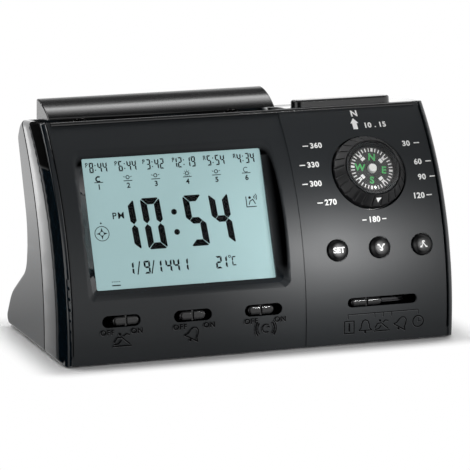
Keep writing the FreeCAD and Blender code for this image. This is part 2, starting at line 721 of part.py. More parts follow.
def across(points, x0, x1):
    """Flat-sided prism between two x places, from (y, z) corners."""
    corners = [Vector(x0, y, z) for y, z in points]
    return Part.Face(Part.makePolygon(corners + corners[:1])).extrude(Vector(x1 - x0, 0, 0))


def turned(points):
    """Solid turned round local z from (radius, z) corners."""
    corners = [Vector(r, 0, z) for r, z in points]
    return Part.Face(Part.makePolygon(corners + corners[:1])).revolve(Vector(0, 0, 0), Z_AXIS, 360)


def screw_shape(shank_radius, length, head_radius, head_height):
    """Screw along local z with its head above z = 0 and its shank below, cross cut in the head."""
    screw = disc(head_radius, 0, head_height).fuse(disc(shank_radius, -length, 0)).removeSplitter()
    deep = head_height * SCREW_CROSS_DEPTH / SCREW_HEAD_HEIGHT
    arm = head_radius * 1.3
    thin = head_radius * SCREW_CROSS_WIDTH / SCREW_HEAD_RADIUS
    for width, height in ((arm, thin), (thin, arm)):
        screw = screw.cut(plate(width, height, head_height - deep, head_height + 1))
    return screw


def coil(radius, wire_radius, length, turns):
    """Coil spring along local z from z = 0 to its length, of half turns that each rise half the pitch."""
    rise = (length - 2 * wire_radius) / (2 * turns)
    halves = []
    for step in range(2 * turns):
        side = 1 if step % 2 == 0 else -1
        low = Vector(side * radius, 0, wire_radius + step * rise)
        high = Vector(-side * radius, 0, low.z + rise)
        axis = (high - low).cross(Y_AXIS) * -side
        section = Part.Face(Part.Wire([Part.makeCircle(wire_radius, low, Y_AXIS)]))
        halves.append(section.revolve((low + high) / 2, axis, 180))
    return halves[0].fuse(halves[1:]).removeSplitter()


def edges_at(shape, z):
    """Edges of a shape that lie at one height."""
    return [e for e in shape.Edges if all(abs(v.Z - z) < 1e-6 for v in e.Vertexes)]


def wire(points):
    """Round wire along a smooth curve through its points."""
    curve = Part.BSplineCurve()
    curve.interpolate(points)
    section = Part.makeCircle(WIRE_RADIUS, points[0], curve.tangent(curve.FirstParameter)[0])
    return Part.Wire([curve.toShape()]).makePipeShell([Part.Wire([section])], True, True)


# ---- places worked out once ----

BOARD_FRONT = SWITCH_BODY_FRONT + SWITCH_BODY_HEIGHT
BUTTON_STEM_END = WALL + BUTTON_FLANGE_GAP + BUTTON_FLANGE_HEIGHT + BUTTON_STEM_LENGTH
PRESS_SWITCH_TOP = PRESS_SWITCH_HEIGHT + PLUNGER_HEIGHT + PLUNGER_GAP
BUTTON_BOARD_FRONT = BUTTON_STEM_END + BUTTON_TRAVEL + PRESS_SWITCH_TOP
LEDGE_Z = top_height(BAR_POST_Y) - LEDGE_DEPTH
STOP_Z = LEDGE_Z - LEDGE_FLOOR - BAR_STOP_DEPTH
SPRING_SEAT_Z = LEDGE_Z - SPRING_SEAT_DEPTH
BAR_POST_END = STOP_Z - BAR_STOP_GAP - BAR_CLIP_HEIGHT
BAR_POSTS = (BAR_LEFT + BAR_POST_INSET, BAR_RIGHT - BAR_POST_INSET)
TOP_BOARD_Z = BAR_POST_END - BAR_TRAVEL - PRESS_SWITCH_TOP
KEY_FLANGE_TOP = -WALL - KEY_GAP
HOLDER_TOP_Y = WINDOW_HEIGHT / 2 + HOLDER_TOP
HOLDER_LOW_Y = -WINDOW_HEIGHT / 2 - HOLDER_BOTTOM
HOLDER_MIDDLE_Y = (HOLDER_TOP_Y + HOLDER_LOW_Y) / 2
HOLDER_HALF = WINDOW_WIDTH / 2 + HOLDER_SIDE
HOLDER_BACK = RECESS_FLOOR + HOLDER_DEPTH
EARS = [(side * (HOLDER_HALF + EAR_REACH), y) for side in (-1, 1) for y in (-EAR_HEIGHT, EAR_HEIGHT)]
LENS_FRONT = RECESS_FLOOR + STACK_GAP
GLASS_FRONT = LENS_FRONT + LENS_THICKNESS + STACK_GAP
LIGHT_FRONT = GLASS_FRONT + GLASS_THICKNESS + STACK_GAP
CUP_TOP_RADIUS = RING_BORE - CUP_GAP
CUP_FLANGE_TOP = RING_DEPTH + RING_SEAT_GAP
CUP_BOTTOM = WELL_DEPTH - STACK_GAP
CUP_FLOOR_TOP = CUP_BOTTOM - CUP_FLOOR
CUP_RIM = RING_PROUD - CUP_RIM_DROP
DIAL_TOP = RING_PROUD - DIAL_DROP
PIVOT_BASE = PIVOT_POST_HEIGHT - CUP_FLOOR_TOP
BAY_HALF = CELL_LENGTH / 2 + CONTACT_SPACE / 2 + CELL_NUB / 2
CELL_Z = DOOR_THICKNESS + DOOR_SEAT_GAP + CELL_SPARE + CELL_RADIUS
CELL_YS = [BAY_FRONT + CELL_SPARE + CELL_RADIUS + i * CELL_PITCH for i in range(CELL_COUNT)]
BAY_BACK = CELL_YS[-1] + CELL_RADIUS + CELL_SPARE
BAY_TOP = CELL_Z + CELL_RADIUS + CELL_SPARE
DOOR_HALF = BAY_HALF + BAY_WALL
DOOR_FRONT = BAY_FRONT - BAY_WALL
DOOR_BACK = BAY_BACK + BAY_WALL
FOOT_X = HALF_WIDTH - FOOT_SIDE_INSET
FEET = [(side * FOOT_X, y) for side in (-1, 1) for y in (FOOT_FRONT_Y, FOOT_REAR_Y)]
CASE_SCREWS = [(side * SCREW_X, z) for side in (-1, 1) for z in SCREW_HEIGHTS]


def compass_frame():
    """Placement at the compass's centre on the face."""
    return face_frame(COMPASS_X, COMPASS_ARC)


def button_board_frame():
    """Placement of the board behind the three press buttons."""
    return face_frame((min(BUTTON_PLACES.values()) + max(BUTTON_PLACES.values())) / 2, BUTTON_ARC)


def slide_surface(x):
    """Local height of the face at a slide switch: its left part lies a step lower."""
    return -FIELD_STEP if x < FIELD_STEP_X else 0.0


def slide_range(name):
    """Travel of a slide switch to the left and right of its rest place."""
    x, slot, knob, height, rest = SLIDE_SWITCHES[name]
    reach = (slot - knob) / 2 - KNOB_END_GAP
    return -reach - rest, reach - rest


def foot_pocket(x, y):
    """Pocket in the underside that holds a rubber foot."""
    return disc(FOOT_RADIUS + FOOT_GAP, -1, FOOT_THICKNESS - FOOT_PROUD, x, y)


def front_posts():
    """Posts inside the front case: for the case screws, the boards and the display's ears."""
    posts = []
    for x, z in CASE_SCREWS:
        radius = SCREW_RADIUS + SCREW_POST_WALL
        reach = seam_y(z) - TUBE_GAP - FRONT_Y
        posts.append(Part.makeCylinder(radius, reach, Vector(x, FRONT_Y, z), Y_AXIS))
    for x in SWITCH_BOARD_POSTS:
        posts.append(placed(disc(POST_RADIUS, -BOARD_FRONT, 0), face_frame(x, SWITCH_ARC)))
    for x in button_posts():
        posts.append(placed(disc(POST_RADIUS, -BUTTON_BOARD_FRONT, 0, x), button_board_frame()))
    for x, y in TOP_BOARD_POSTS:
        posts.append(disc(POST_RADIUS, TOP_BOARD_Z, FACE_TOP_HEIGHT, x, y))
    for x, y in EARS:
        posts.append(placed(disc(POST_RADIUS, -RECESS_FLOOR, WALL * 3, x, y), window_frame()))
    return posts


def button_posts():
    """Local x of the two posts between the three buttons."""
    places = sorted(BUTTON_PLACES.values())
    middle = (places[0] + places[-1]) / 2
    return [(a + b) / 2 - middle for a, b in zip(places, places[1:])]


def pilot_holes():
    """Holes in the front case's posts that the screws bite into."""
    holes = []
    reach = SCREW_LENGTH - TUBE_FLOOR + PILOT_SPARE
    for x, z in CASE_SCREWS:
        start = Vector(x, seam_y(z) - reach, z)
        holes.append(Part.makeCylinder(SCREW_RADIUS + SCREW_GAP, reach + 1, start, Y_AXIS))
    radius = BOARD_SCREW_RADIUS + BOARD_SCREW_GAP
    for x in SWITCH_BOARD_POSTS:
        hole = disc(radius, -BOARD_FRONT - 1, -BOARD_FRONT + PILOT_DEPTH)
        holes.append(placed(hole, face_frame(x, SWITCH_ARC)))
    for x in button_posts():
        hole = disc(radius, -BUTTON_BOARD_FRONT - 1, -BUTTON_BOARD_FRONT + PILOT_DEPTH, x)
        holes.append(placed(hole, button_board_frame()))
    for x, y in TOP_BOARD_POSTS:
        holes.append(disc(radius, TOP_BOARD_Z - 1, TOP_BOARD_Z + PILOT_DEPTH, x, y))
    reach = LONG_SCREW_LENGTH - HOLDER_DEPTH - BOARD_THICKNESS + PILOT_SPARE / 2
    for x, y in EARS:
        hole = disc(radius, -RECESS_FLOOR - 1, -RECESS_FLOOR + reach, x, y)
        holes.append(placed(hole, window_frame()))
    return holes


def lip(inner):
    """Tongue of the front case that reaches inside the rear case and closes the seam."""
    core = form(WALL + LIP_THICKNESS)
    slack = form(WALL + LIP_CLEARANCE)
    root = inner.cut(core).common(drum(SEAM_RADIUS + LIP_REACH)).cut(drum(SEAM_RADIUS - 0.01))
    tail = slack.cut(core).common(drum(SEAM_RADIUS)).cut(drum(SEAM_RADIUS - LIP_REACH))
    return [root, tail]


def bar_ledge():
    """Sunken place in the top surface that the press bar moves in."""
    front, back = BAR_FRONT[0] - BAR_GAP, BAR_BACK[0] + BAR_GAP
    points = [(front, top_height(front) - LEDGE_DEPTH), (back, top_height(back) - LEDGE_DEPTH),
              (back, BAR_TOP[1]), (front, BAR_TOP[1])]
    return across(points, BAR_LEFT - BAR_GAP, BAR_RIGHT + BAR_GAP)


def ledge_tub():
    """Floor and walls under the press bar's ledge."""
    deep = LEDGE_DEPTH + LEDGE_FLOOR
    front, back = BAR_FRONT[0] - BAR_GAP - LEDGE_FLOOR, seam_y(FACE_TOP_HEIGHT)
    points = [(front, top_height(front) - deep), (back, top_height(back) - deep),
              (back, top_height(back)), (front, top_height(front))]
    tub = across(points, BAR_LEFT - BAR_GAP - LEDGE_FLOOR, BAR_RIGHT + BAR_GAP + LEDGE_FLOOR)
    stops = [disc(SPRING_SEAT_RADIUS + LEDGE_FLOOR, STOP_Z, LEDGE_Z, x, BAR_POST_Y) for x in BAR_POSTS]
    return tub.fuse(stops).cut(drum(SEAM_RADIUS))


def slide_tub(name):
    """Closed pocket behind one slide switch's slot."""
    x, slot, knob, height, rest = SLIDE_SWITCHES[name]
    deep = slide_surface(x) - SLOT_DEPTH - SLOT_FLOOR
    tub = stadium(slot + 2 * SLOT_TUB_WALL, height + 2 * SLOT_TUB_WALL, deep, 0)
    return placed(tub, face_frame(x, SWITCH_ARC))


def slide_cut(name):
    """Slot of one slide switch, with the slit in its floor that the stem runs in."""
    x, slot, knob, height, rest = SLIDE_SWITCHES[name]
    floor = slide_surface(x) - SLOT_DEPTH
    low, high = slide_range(name)
    middle = rest + (low + high) / 2
    length = high - low + STEM_LENGTH + 2 * STEM_GAP
    slit = stadium(length, STEM_WIDTH + 2 * STEM_GAP, floor - SLOT_FLOOR - 1, floor + 1, middle)
    return placed(stadium(slot, height, floor, WALL).fuse(slit), face_frame(x, SWITCH_ARC))


def compass_well():
    """Round well in the face that holds the compass and its ring."""
    return placed(disc(RING_RADIUS + RING_GAP, -WELL_DEPTH, WALL * 2), compass_frame())


def compass_tub():
    """Wall and floor of the compass well."""
    tub = disc(RING_RADIUS + RING_GAP + WELL_WALL, -WELL_DEPTH - WELL_FLOOR, WALL)
    return placed(tub, compass_frame())


def button_hole(x):
    """Hole of one press button with its sunk collar."""
    hole = disc(BUTTON_RADIUS + BUTTON_GAP, -WALL * 2, WALL)
    collar = disc(BUTTON_RADIUS + BUTTON_GAP + BUTTON_COLLAR, -BUTTON_COLLAR_DEPTH, WALL)
    return placed(hole.fuse(collar), face_frame(x, BUTTON_ARC))


def holder_pocket():
    """Room for the display's holder behind the recess."""
    width = 2 * (HOLDER_HALF + HOLDER_GAP)
    height = HOLDER_TOP_Y - HOLDER_LOW_Y + 2 * HOLDER_GAP
    back = -HOLDER_BACK - BOARD_THICKNESS
    return placed(plate(width, height, back, -RECESS_FLOOR, 0, HOLDER_MIDDLE_Y), window_frame())


def holder_flange():
    """Flange round the display window that the holder lies against."""
    height = HOLDER_TOP_Y - HOLDER_LOW_Y
    return placed(plate(2 * HOLDER_HALF, height, -RECESS_FLOOR, 0, 0, HOLDER_MIDDLE_Y), window_frame())


def key_hole():
    """Hole of the top press key."""
    hole = stadium(KEY_LENGTH + 2 * KEY_GAP, KEY_WIDTH + 2 * KEY_GAP, -2 * WALL, WALL)
    return placed(hole, top_frame(KEY_X, KEY_Y))


def front_case(outer, inner):
    """Front half: face, sunken fields, display recess, compass well, slots, holes and posts."""
    shell = outer.cut(inner).cut(drum(SEAM_RADIUS))
    solid = shell.fuse(recess_tool(RECESS_WALL, RECESS_TUB_SINK).common(outer)).fuse(holder_flange())
    tubs = [ledge_tub(), compass_tub()] + [slide_tub(name) for name in SLIDE_SWITCHES] + front_posts()
    solid = solid.fuse([tub.common(outer) for tub in tubs] + lip(inner))
    top_arc = RECESS_TOP_ARC + 2 * CHEEK_DEPTH
    high = RIM_RADIUS + WALL
    cuts = [
        drum_patch(-GROOVE_X, FIELD_STEP_X, DISPLAY_FIELD_RADIUS, high, FIELD_START, top_arc),
        drum_patch(FIELD_STEP_X, GROOVE_X, FACE_RADIUS, high, FIELD_START, top_arc),
        holder_pocket(),
        recess_tool(0.0, 0.0),
        window_opening(),
        bar_ledge(),
        compass_well(),
        key_hole(),
    ]
    for side in (-1, 1):
        edges = sorted((side * GROOVE_X, side * (GROOVE_X - GROOVE_WIDTH)))
        cuts.append(drum_patch(*edges, FACE_RADIUS - GROOVE_DEPTH, high, GROOVE_START, top_arc))
    cuts += [slide_cut(name) for name in SLIDE_SWITCHES]
    cuts += [button_hole(x) for x in BUTTON_PLACES.values()]
    for x in BAR_POSTS:
        cuts.append(disc(SPRING_SEAT_RADIUS, SPRING_SEAT_Z, BAR_TOP[1], x, BAR_POST_Y))
        cuts.append(disc(BAR_POST_RADIUS + BAR_POST_GAP, STOP_Z - 1, BAR_TOP[1], x, BAR_POST_Y))
    cuts += [foot_pocket(x, y) for x, y in FEET if y == FOOT_FRONT_Y] + pilot_holes()
    for cut in cuts:
        solid = solid.cut(cut)
    return solid.removeSplitter()


def screw_tube(x, z):
    """Tube of the rear case from the seam back to the wall, for one case screw."""
    start = seam_y(z) + TUBE_GAP
    radius = SCREW_HEAD_RADIUS + SCREW_HOLE_GAP + TUBE_WALL
    return Part.makeCylinder(radius, BIG, Vector(x, start, z), Y_AXIS)


def screw_bore(x, z):
    """Clearance hole and head bore inside a screw tube."""
    start = seam_y(z) + TUBE_GAP
    hole = Part.makeCylinder(SCREW_RADIUS + SCREW_HOLE_GAP, BIG, Vector(x, start - 1, z), Y_AXIS)
    radius = SCREW_HEAD_RADIUS + SCREW_HOLE_GAP
    return hole.fuse(Part.makeCylinder(radius, BIG, Vector(x, start + TUBE_FLOOR, z), Y_AXIS))


def grille_places():
    """Local places of the loudspeaker's sound holes, in rings."""
    places = [(0.0, 0.0)]
    for ring in range(1, GRILLE_RINGS + 1):
        radius = ring * GRILLE_PITCH
        for step in range(6 * ring):
            angle = 2 * math.pi * step / (6 * ring)
            places.append((radius * math.cos(angle), radius * math.sin(angle)))
    return places


def rear_case(outer, inner):
    """Rear half: head, neck and foot, with the battery bay, screw tubes and loudspeaker seat."""
    shell = outer.cut(inner).common(drum(SEAM_RADIUS - SEAM_GAP))
    bay = block(-DOOR_HALF, DOOR_HALF, DOOR_FRONT, DOOR_BACK, 0, BAY_TOP + BAY_WALL)
    frame = head_frame()
    seat_radius = SPEAKER_RADIUS + SPEAKER_GAP
    seat = placed(disc(seat_radius + SEAT_WALL, -WALL - SEAT_HEIGHT, -WALL / 2), frame)
    tubes = [screw_tube(x, z) for x, z in CASE_SCREWS]
    solid = shell.fuse([piece.common(outer) for piece in [bay, seat] + tubes])
    cuts = [
        block(-BAY_HALF, BAY_HALF, BAY_FRONT, BAY_BACK, -1, BAY_TOP),
        block(-DOOR_HALF - DOOR_GAP, DOOR_HALF + DOOR_GAP, DOOR_FRONT - DOOR_GAP, DOOR_BACK + DOOR_GAP,
              -1, DOOR_THICKNESS + DOOR_SEAT_GAP),
        door_pins(DOOR_PIN_GAP),
        placed(disc(seat_radius, -WALL - SEAT_HEIGHT - 1, -WALL), frame),
    ]
    cuts += [placed(disc(GRILLE_HOLE, -2 * WALL, WALL, x, y), frame) for x, y in grille_places()]
    cuts += [screw_bore(x, z) for x, z in CASE_SCREWS]
    cuts += [foot_pocket(x, y) for x, y in FEET if y == FOOT_REAR_Y]
    for side, y in ((1, CELL_YS[0]), (-1, CELL_YS[-1])):
        hole = Vector(side * (BAY_HALF - 1), y, CELL_Z)
        cuts.append(Part.makeCylinder(WIRE_HOLE_RADIUS, BAY_WALL + 2, hole, X_AXIS * side))
    for cut in cuts:
        solid = solid.cut(cut)
    return solid.removeSplitter()


def stack_plate(front, thickness, low=HOLDER_LOW_Y):
    """Flat layer of the display, inside the holder."""
    inset = HOLDER_RING + STACK_GAP
    low, high = low + inset, HOLDER_TOP_Y - inset
    layer = plate(2 * (HOLDER_HALF - inset), high - low, -front - thickness, -front, 0, (low + high) / 2)
    return placed(layer, window_frame())


def ears(z0, z1):
    """Screw ears beside the holder, with their holes."""
    solids = []
    for x, y in EARS:
        xs = sorted((x, math.copysign(HOLDER_HALF, x)))
        tab = block(*xs, y - EAR_RADIUS, y + EAR_RADIUS, z0, z1)
        solids.append(disc(EAR_RADIUS, z0, z1, x, y).fuse(tab))
    return solids


def ear_holes():
    """Screw holes through the ears."""
    radius = BOARD_SCREW_RADIUS + BOARD_SCREW_HOLE_GAP
    return [disc(radius, -BIG, BIG, x, y) for x, y in EARS]


def display_holder():
    """Open frame that holds the display's layers and stands the main board off the case."""
    width, height = 2 * HOLDER_HALF, HOLDER_TOP_Y - HOLDER_LOW_Y
    ring = plate(width, height, -HOLDER_BACK, -RECESS_FLOOR, 0, HOLDER_MIDDLE_Y)
    ring = ring.fuse(ears(-HOLDER_BACK, -RECESS_FLOOR))
    width, height = width - 2 * HOLDER_RING, height - 2 * HOLDER_RING
    ring = ring.cut(plate(width, height, -BIG, BIG, 0, HOLDER_MIDDLE_Y))
    return placed(ring.cut(ear_holes()).removeSplitter(), window_frame())


def main_board():
    """Main circuit board on the back of the holder."""
    height = HOLDER_TOP_Y - HOLDER_LOW_Y
    back = -HOLDER_BACK - BOARD_THICKNESS
    board = plate(2 * HOLDER_HALF, height, back, -HOLDER_BACK, 0, HOLDER_MIDDLE_Y)
    board = board.fuse(ears(back, -HOLDER_BACK))
    return placed(board.cut(ear_holes()).removeSplitter(), window_frame())


def contact_strip():
    """Rubber strip that joins the display glass to the main board."""
    low = HOLDER_LOW_Y + HOLDER_RING + CONTACT_STRIP_INSET
    z0, z1 = -HOLDER_BACK, -LIGHT_FRONT + STACK_GAP
    strip = plate(WINDOW_WIDTH, CONTACT_STRIP_HEIGHT, z0, z1, 0, low + CONTACT_STRIP_HEIGHT / 2)
    return placed(strip, window_frame())


def light_plate():
    """Clear light plate and reflector behind the display glass, above the contact strip."""
    low = HOLDER_LOW_Y + CONTACT_STRIP_INSET + CONTACT_STRIP_HEIGHT
    return stack_plate(LIGHT_FRONT, LIGHT_PLATE_THICKNESS, low)


def board_parts():
    """Parts on the back of the main board: chip, crystal and capacitors."""
    back = -HOLDER_BACK - BOARD_THICKNESS
    frame = window_frame()
    low = back - CHIP_HEIGHT
    chip = turned([(0, back), (CHIP_RADIUS, back), (CHIP_RADIUS * 0.7, low), (0, low)])
    start = Vector(2 * CHIP_RADIUS, 0, back - CRYSTAL_RADIUS)
    crystal = Part.makeCylinder(CRYSTAL_RADIUS, CRYSTAL_LENGTH, start, X_AXIS)
    low = back - CAPACITOR_HEIGHT
    cans = [disc(CAPACITOR_RADIUS, low, back, x, CAPACITOR_Y) for x in CAPACITOR_PLACES]
    return placed(chip, frame), placed(crystal, frame), placed(Part.makeCompound(cans), frame)


def board_screw(length):
    """Small screw for a board, head above z = 0."""
    return screw_shape(BOARD_SCREW_RADIUS, length, BOARD_SCREW_HEAD, BOARD_SCREW_HEAD_HEIGHT)


def long_board_screws():
    """Screws through the main board and holder into the front case."""
    back = HOLDER_BACK + BOARD_THICKNESS
    screws = []
    for x, y in EARS:
        seat = window_frame().multiply(Placement(Vector(x, y, -back), FLIPPED))
        screws.append(placed(board_screw(LONG_SCREW_LENGTH), seat))
    return Part.makeCompound(screws)


def short_board_screws():
    """Screws that hold the switch board, the button board and the top board."""
    places = [(face_frame(x, SWITCH_ARC), 0, BOARD_FRONT) for x in SWITCH_BOARD_POSTS]
    places += [(button_board_frame(), x, BUTTON_BOARD_FRONT) for x in button_posts()]
    places += [(Placement(Vector(x, y, TOP_BOARD_Z), Rotation()), 0, 0) for x, y in TOP_BOARD_POSTS]
    screws = []
    for frame, x, depth in places:
        seat = frame.multiply(Placement(Vector(x, 0, -depth - BOARD_THICKNESS), FLIPPED))
        screws.append(placed(board_screw(SHORT_SCREW_LENGTH), seat))
    return Part.makeCompound(screws)


def switch_board():
    """Narrow board behind the four slide switches."""
    middle = (SWITCH_BOARD_LEFT + SWITCH_BOARD_RIGHT) / 2
    width = SWITCH_BOARD_RIGHT - SWITCH_BOARD_LEFT
    board = plate(width, SWITCH_BOARD_HEIGHT, -BOARD_FRONT - BOARD_THICKNESS, -BOARD_FRONT)
    radius = BOARD_SCREW_RADIUS + BOARD_SCREW_HOLE_GAP
    holes = [disc(radius, -BIG, BIG, x - middle) for x in SWITCH_BOARD_POSTS]
    return placed(board.cut(holes), face_frame(middle, SWITCH_ARC))


def slide_bodies():
    """Bodies of the four slide switches, each with the slot that its knob's stem runs in."""
    bodies = []
    for name, (x, slot, knob, height, rest) in SLIDE_SWITCHES.items():
        low, high = slide_range(name)
        middle = rest + (low + high) / 2
        room = high - low + STEM_LENGTH + 2 * STEM_GAP
        length = room + 2 * SWITCH_BODY_END
        body = plate(length, SWITCH_BODY_WIDTH, -BOARD_FRONT, -SWITCH_BODY_FRONT, middle)
        deep = SWITCH_BODY_FRONT + STEM_IN_SWITCH + STEM_GAP
        slit = plate(room, STEM_WIDTH + 2 * STEM_GAP, -deep, 0, middle)
        bodies.append(placed(body.cut(slit), face_frame(x, SWITCH_ARC)))
    return Part.makeCompound(bodies)


def slide_knob(name):
    """Knob of one slide switch: rounded block with a notch across, on a stem."""
    x, slot, knob, height, rest = SLIDE_SWITCHES[name]
    surface = slide_surface(x)
    top, low = surface - KNOB_SUNK, surface - SLOT_DEPTH + KNOB_FLOOR_GAP
    body = stadium(knob, height - 2 * KNOB_SIDE_GAP, low, top)
    body = body.makeFillet(KNOB_ROUND, edges_at(body, top))
    body = body.cut(plate(KNOB_NOTCH, height, top - KNOB_NOTCH_DEPTH, top + 1))
    stem = plate(STEM_LENGTH, STEM_WIDTH, -SWITCH_BODY_FRONT - STEM_IN_SWITCH, low)
    return placed(body.fuse(stem).removeSplitter(), face_frame(x + rest, SWITCH_ARC))


def press_button(x):
    """Press button with sloping sides and a gently domed top, a holding flange and a stem."""
    flange_top = -WALL - BUTTON_FLANGE_GAP
    edge = BUTTON_PROUD - BUTTON_DOME
    sides = turned([
        (0, flange_top), (BUTTON_RADIUS, flange_top), (BUTTON_RADIUS, BUTTON_SHOULDER),
        (BUTTON_TOP_RADIUS, edge), (0, edge),
    ])
    dome = (BUTTON_TOP_RADIUS ** 2 + BUTTON_DOME ** 2) / (2 * BUTTON_DOME)
    ball = Part.makeSphere(dome, Vector(0, 0, BUTTON_PROUD - dome))
    cap = sides.fuse(ball.common(disc(BUTTON_TOP_RADIUS, edge, BUTTON_PROUD + 1))).removeSplitter()
    cap = cap.makeFillet(BUTTON_TOP_ROUND, edges_at(cap, edge))
    flange = disc(BUTTON_RADIUS + BUTTON_FLANGE, flange_top - BUTTON_FLANGE_HEIGHT, flange_top)
    stem = disc(BUTTON_STEM_RADIUS, -BUTTON_STEM_END, flange_top)
    return placed(cap.fuse([flange, stem]).removeSplitter(), face_frame(x, BUTTON_ARC))


def button_board():
    """Board behind the three press buttons."""
    back = -BUTTON_BOARD_FRONT - BOARD_THICKNESS
    board = plate(BUTTON_BOARD_LENGTH, BUTTON_BOARD_HEIGHT, back, -BUTTON_BOARD_FRONT)
    radius = BOARD_SCREW_RADIUS + BOARD_SCREW_HOLE_GAP
    holes = [disc(radius, -BIG, BIG, x) for x in button_posts()]
    return placed(board.cut(holes), button_board_frame())


def top_board():
    """Board under the top wall, for the press bar and the top key."""
    low = TOP_BOARD_Z - BOARD_THICKNESS
    board = block(TOP_BOARD_LEFT, TOP_BOARD_RIGHT, TOP_BOARD_FRONT, TOP_BOARD_BACK, low, TOP_BOARD_Z)
    radius = BOARD_SCREW_RADIUS + BOARD_SCREW_HOLE_GAP
    return board.cut([disc(radius, 0, BIG, x, y) for x, y in TOP_BOARD_POSTS])


def press_switch_frames():
    """Placement on its board of each press switch, with local z towards what presses it."""
    frames = []
    for x in BUTTON_PLACES.values():
        base = face_frame(x, BUTTON_ARC)
        frames.append(base.multiply(Placement(Vector(0, 0, -BUTTON_BOARD_FRONT), Rotation())))
    for x, y in ((BAR_POSTS[1], BAR_POST_Y), (KEY_X, KEY_Y)):
        frames.append(Placement(Vector(x, y, TOP_BOARD_Z), Rotation()))
    return frames


def press_switches():
    """Square bodies of the press switches, and their round plungers."""
    height = PRESS_SWITCH_HEIGHT
    body = plate(PRESS_SWITCH_SIDE, PRESS_SWITCH_SIDE, 0, height)
    plunger = disc(PLUNGER_RADIUS, height, height + PLUNGER_HEIGHT)
    frames = press_switch_frames()
    bodies = Part.makeCompound([placed(body, frame) for frame in frames])
    return bodies, Part.makeCompound([placed(plunger, frame) for frame in frames])


def bar_section():
    """Outline of the press bar from the side, as a face in the plane x = 0."""
    front, crown, top, back = [Vector(0, y, z) for y, z in (BAR_FRONT, BAR_CROWN, BAR_TOP, BAR_BACK)]
    edges = [Part.Arc(front, crown, top).toShape(), Part.LineSegment(top, back).toShape(),
             Part.LineSegment(back, front).toShape()]
    return Part.Face(Part.Wire(edges))


def press_bar():
    """Hollow press bar with two guide posts that clip under the case's top wall."""
    section = bar_section()
    start = Vector(BAR_LEFT, 0, 0)
    section.translate(start)
    whole = section.extrude(Vector(BAR_RIGHT - BAR_LEFT, 0, 0))
    under = BAR_FRONT[1]
    round_edges = [e for e in whole.Edges if max(v.Z for v in e.Vertexes) > under]
    whole = whole.makeFillet(BAR_ROUND, round_edges)
    hollow = bar_section().makeOffset2D(-BAR_SKIN)
    hollow.translate(start + Vector(BAR_SKIN, 0, 0))
    core = hollow.extrude(Vector(BAR_RIGHT - BAR_LEFT - 2 * BAR_SKIN, 0, 0))
    rims = sorted(((v.Y, v.Z) for v in hollow.Vertexes), key=lambda corner: corner[1])[:2]
    mouth = rims + [(y, z - 2 * BAR_SKIN) for y, z in reversed(rims)]
    solid = whole.cut([core, across(mouth, BAR_LEFT + BAR_SKIN, BAR_RIGHT - BAR_SKIN)])
    seat_z = SPRING_SEAT_Z + SPRING_LENGTH + STACK_GAP
    for x in BAR_POSTS:
        collar = disc(SPRING_SEAT_RADIUS, seat_z, BAR_TOP[1], x, BAR_POST_Y).common(whole)
        post = disc(BAR_POST_RADIUS, BAR_POST_END, seat_z + 1, x, BAR_POST_Y)
        clip = disc(BAR_CLIP_RADIUS, BAR_POST_END, BAR_POST_END + BAR_CLIP_HEIGHT, x, BAR_POST_Y)
        solid = solid.fuse([collar, post, clip])
    return solid.removeSplitter()


def bar_springs():
    """Coil springs round the press bar's posts."""
    springs = []
    for x in BAR_POSTS:
        spring = coil(SPRING_RADIUS, SPRING_WIRE_RADIUS, SPRING_LENGTH, SPRING_TURNS)
        spring.translate(Vector(x, BAR_POST_Y, SPRING_SEAT_Z + STACK_GAP / 2))
        springs.append(spring)
    return Part.makeCompound(springs)


def top_key():
    """Long press key in the top surface, with its holding flange and stem."""
    cap = stadium(KEY_LENGTH, KEY_WIDTH, KEY_FLANGE_TOP, KEY_PROUD)
    cap = cap.makeFillet(KEY_ROUND, edges_at(cap, KEY_PROUD))
    length, width = KEY_LENGTH + 2 * KEY_FLANGE, KEY_WIDTH + 2 * KEY_FLANGE
    flange = stadium(length, width, KEY_FLANGE_TOP - KEY_FLANGE_HEIGHT, KEY_FLANGE_TOP)
    frame = top_frame(KEY_X, KEY_Y)
    end = TOP_BOARD_Z + PRESS_SWITCH_TOP + KEY_TRAVEL + STACK_GAP
    stem = disc(BUTTON_STEM_RADIUS, end - top_height(KEY_Y), KEY_FLANGE_TOP)
    return placed(cap.fuse([flange, stem]).removeSplitter(), frame)


def compass_ring():
    """Turning ring with a conical top and fine radial notches."""
    top_edge = RING_EDGE_PROUD + RING_EDGE_CHAMFER
    chamfer = RING_EDGE_CHAMFER
    ring = turned([
        (RING_RADIUS, -RING_DEPTH), (RING_RADIUS, RING_EDGE_PROUD), (RING_RADIUS - chamfer, top_edge),
        (RING_BORE + chamfer, RING_PROUD), (RING_BORE, RING_PROUD - chamfer), (RING_BORE, -RING_DEPTH),
    ])
    run = RING_RADIUS - RING_BORE - 2 * chamfer
    rise = RING_PROUD - top_edge
    slope = math.degrees(math.atan2(rise, run))
    start = RING_BORE + 2 * chamfer
    length = math.hypot(run, rise)
    half = RING_NOTCH_WIDTH / 2
    low = RING_PROUD - RING_NOTCH_DEPTH
    notches = []
    for step in range(RING_NOTCHES):
        notch = block(start, start + length, -half, half, low, RING_PROUD + 1)
        notch.rotate(Vector(RING_BORE + chamfer, 0, RING_PROUD), Y_AXIS, slope)
        notch.rotate(Vector(0, 0, 0), Z_AXIS, 360 * (step + 0.5) / RING_NOTCHES)
        notches.append(notch)
    return placed(ring.cut(notches), compass_frame())


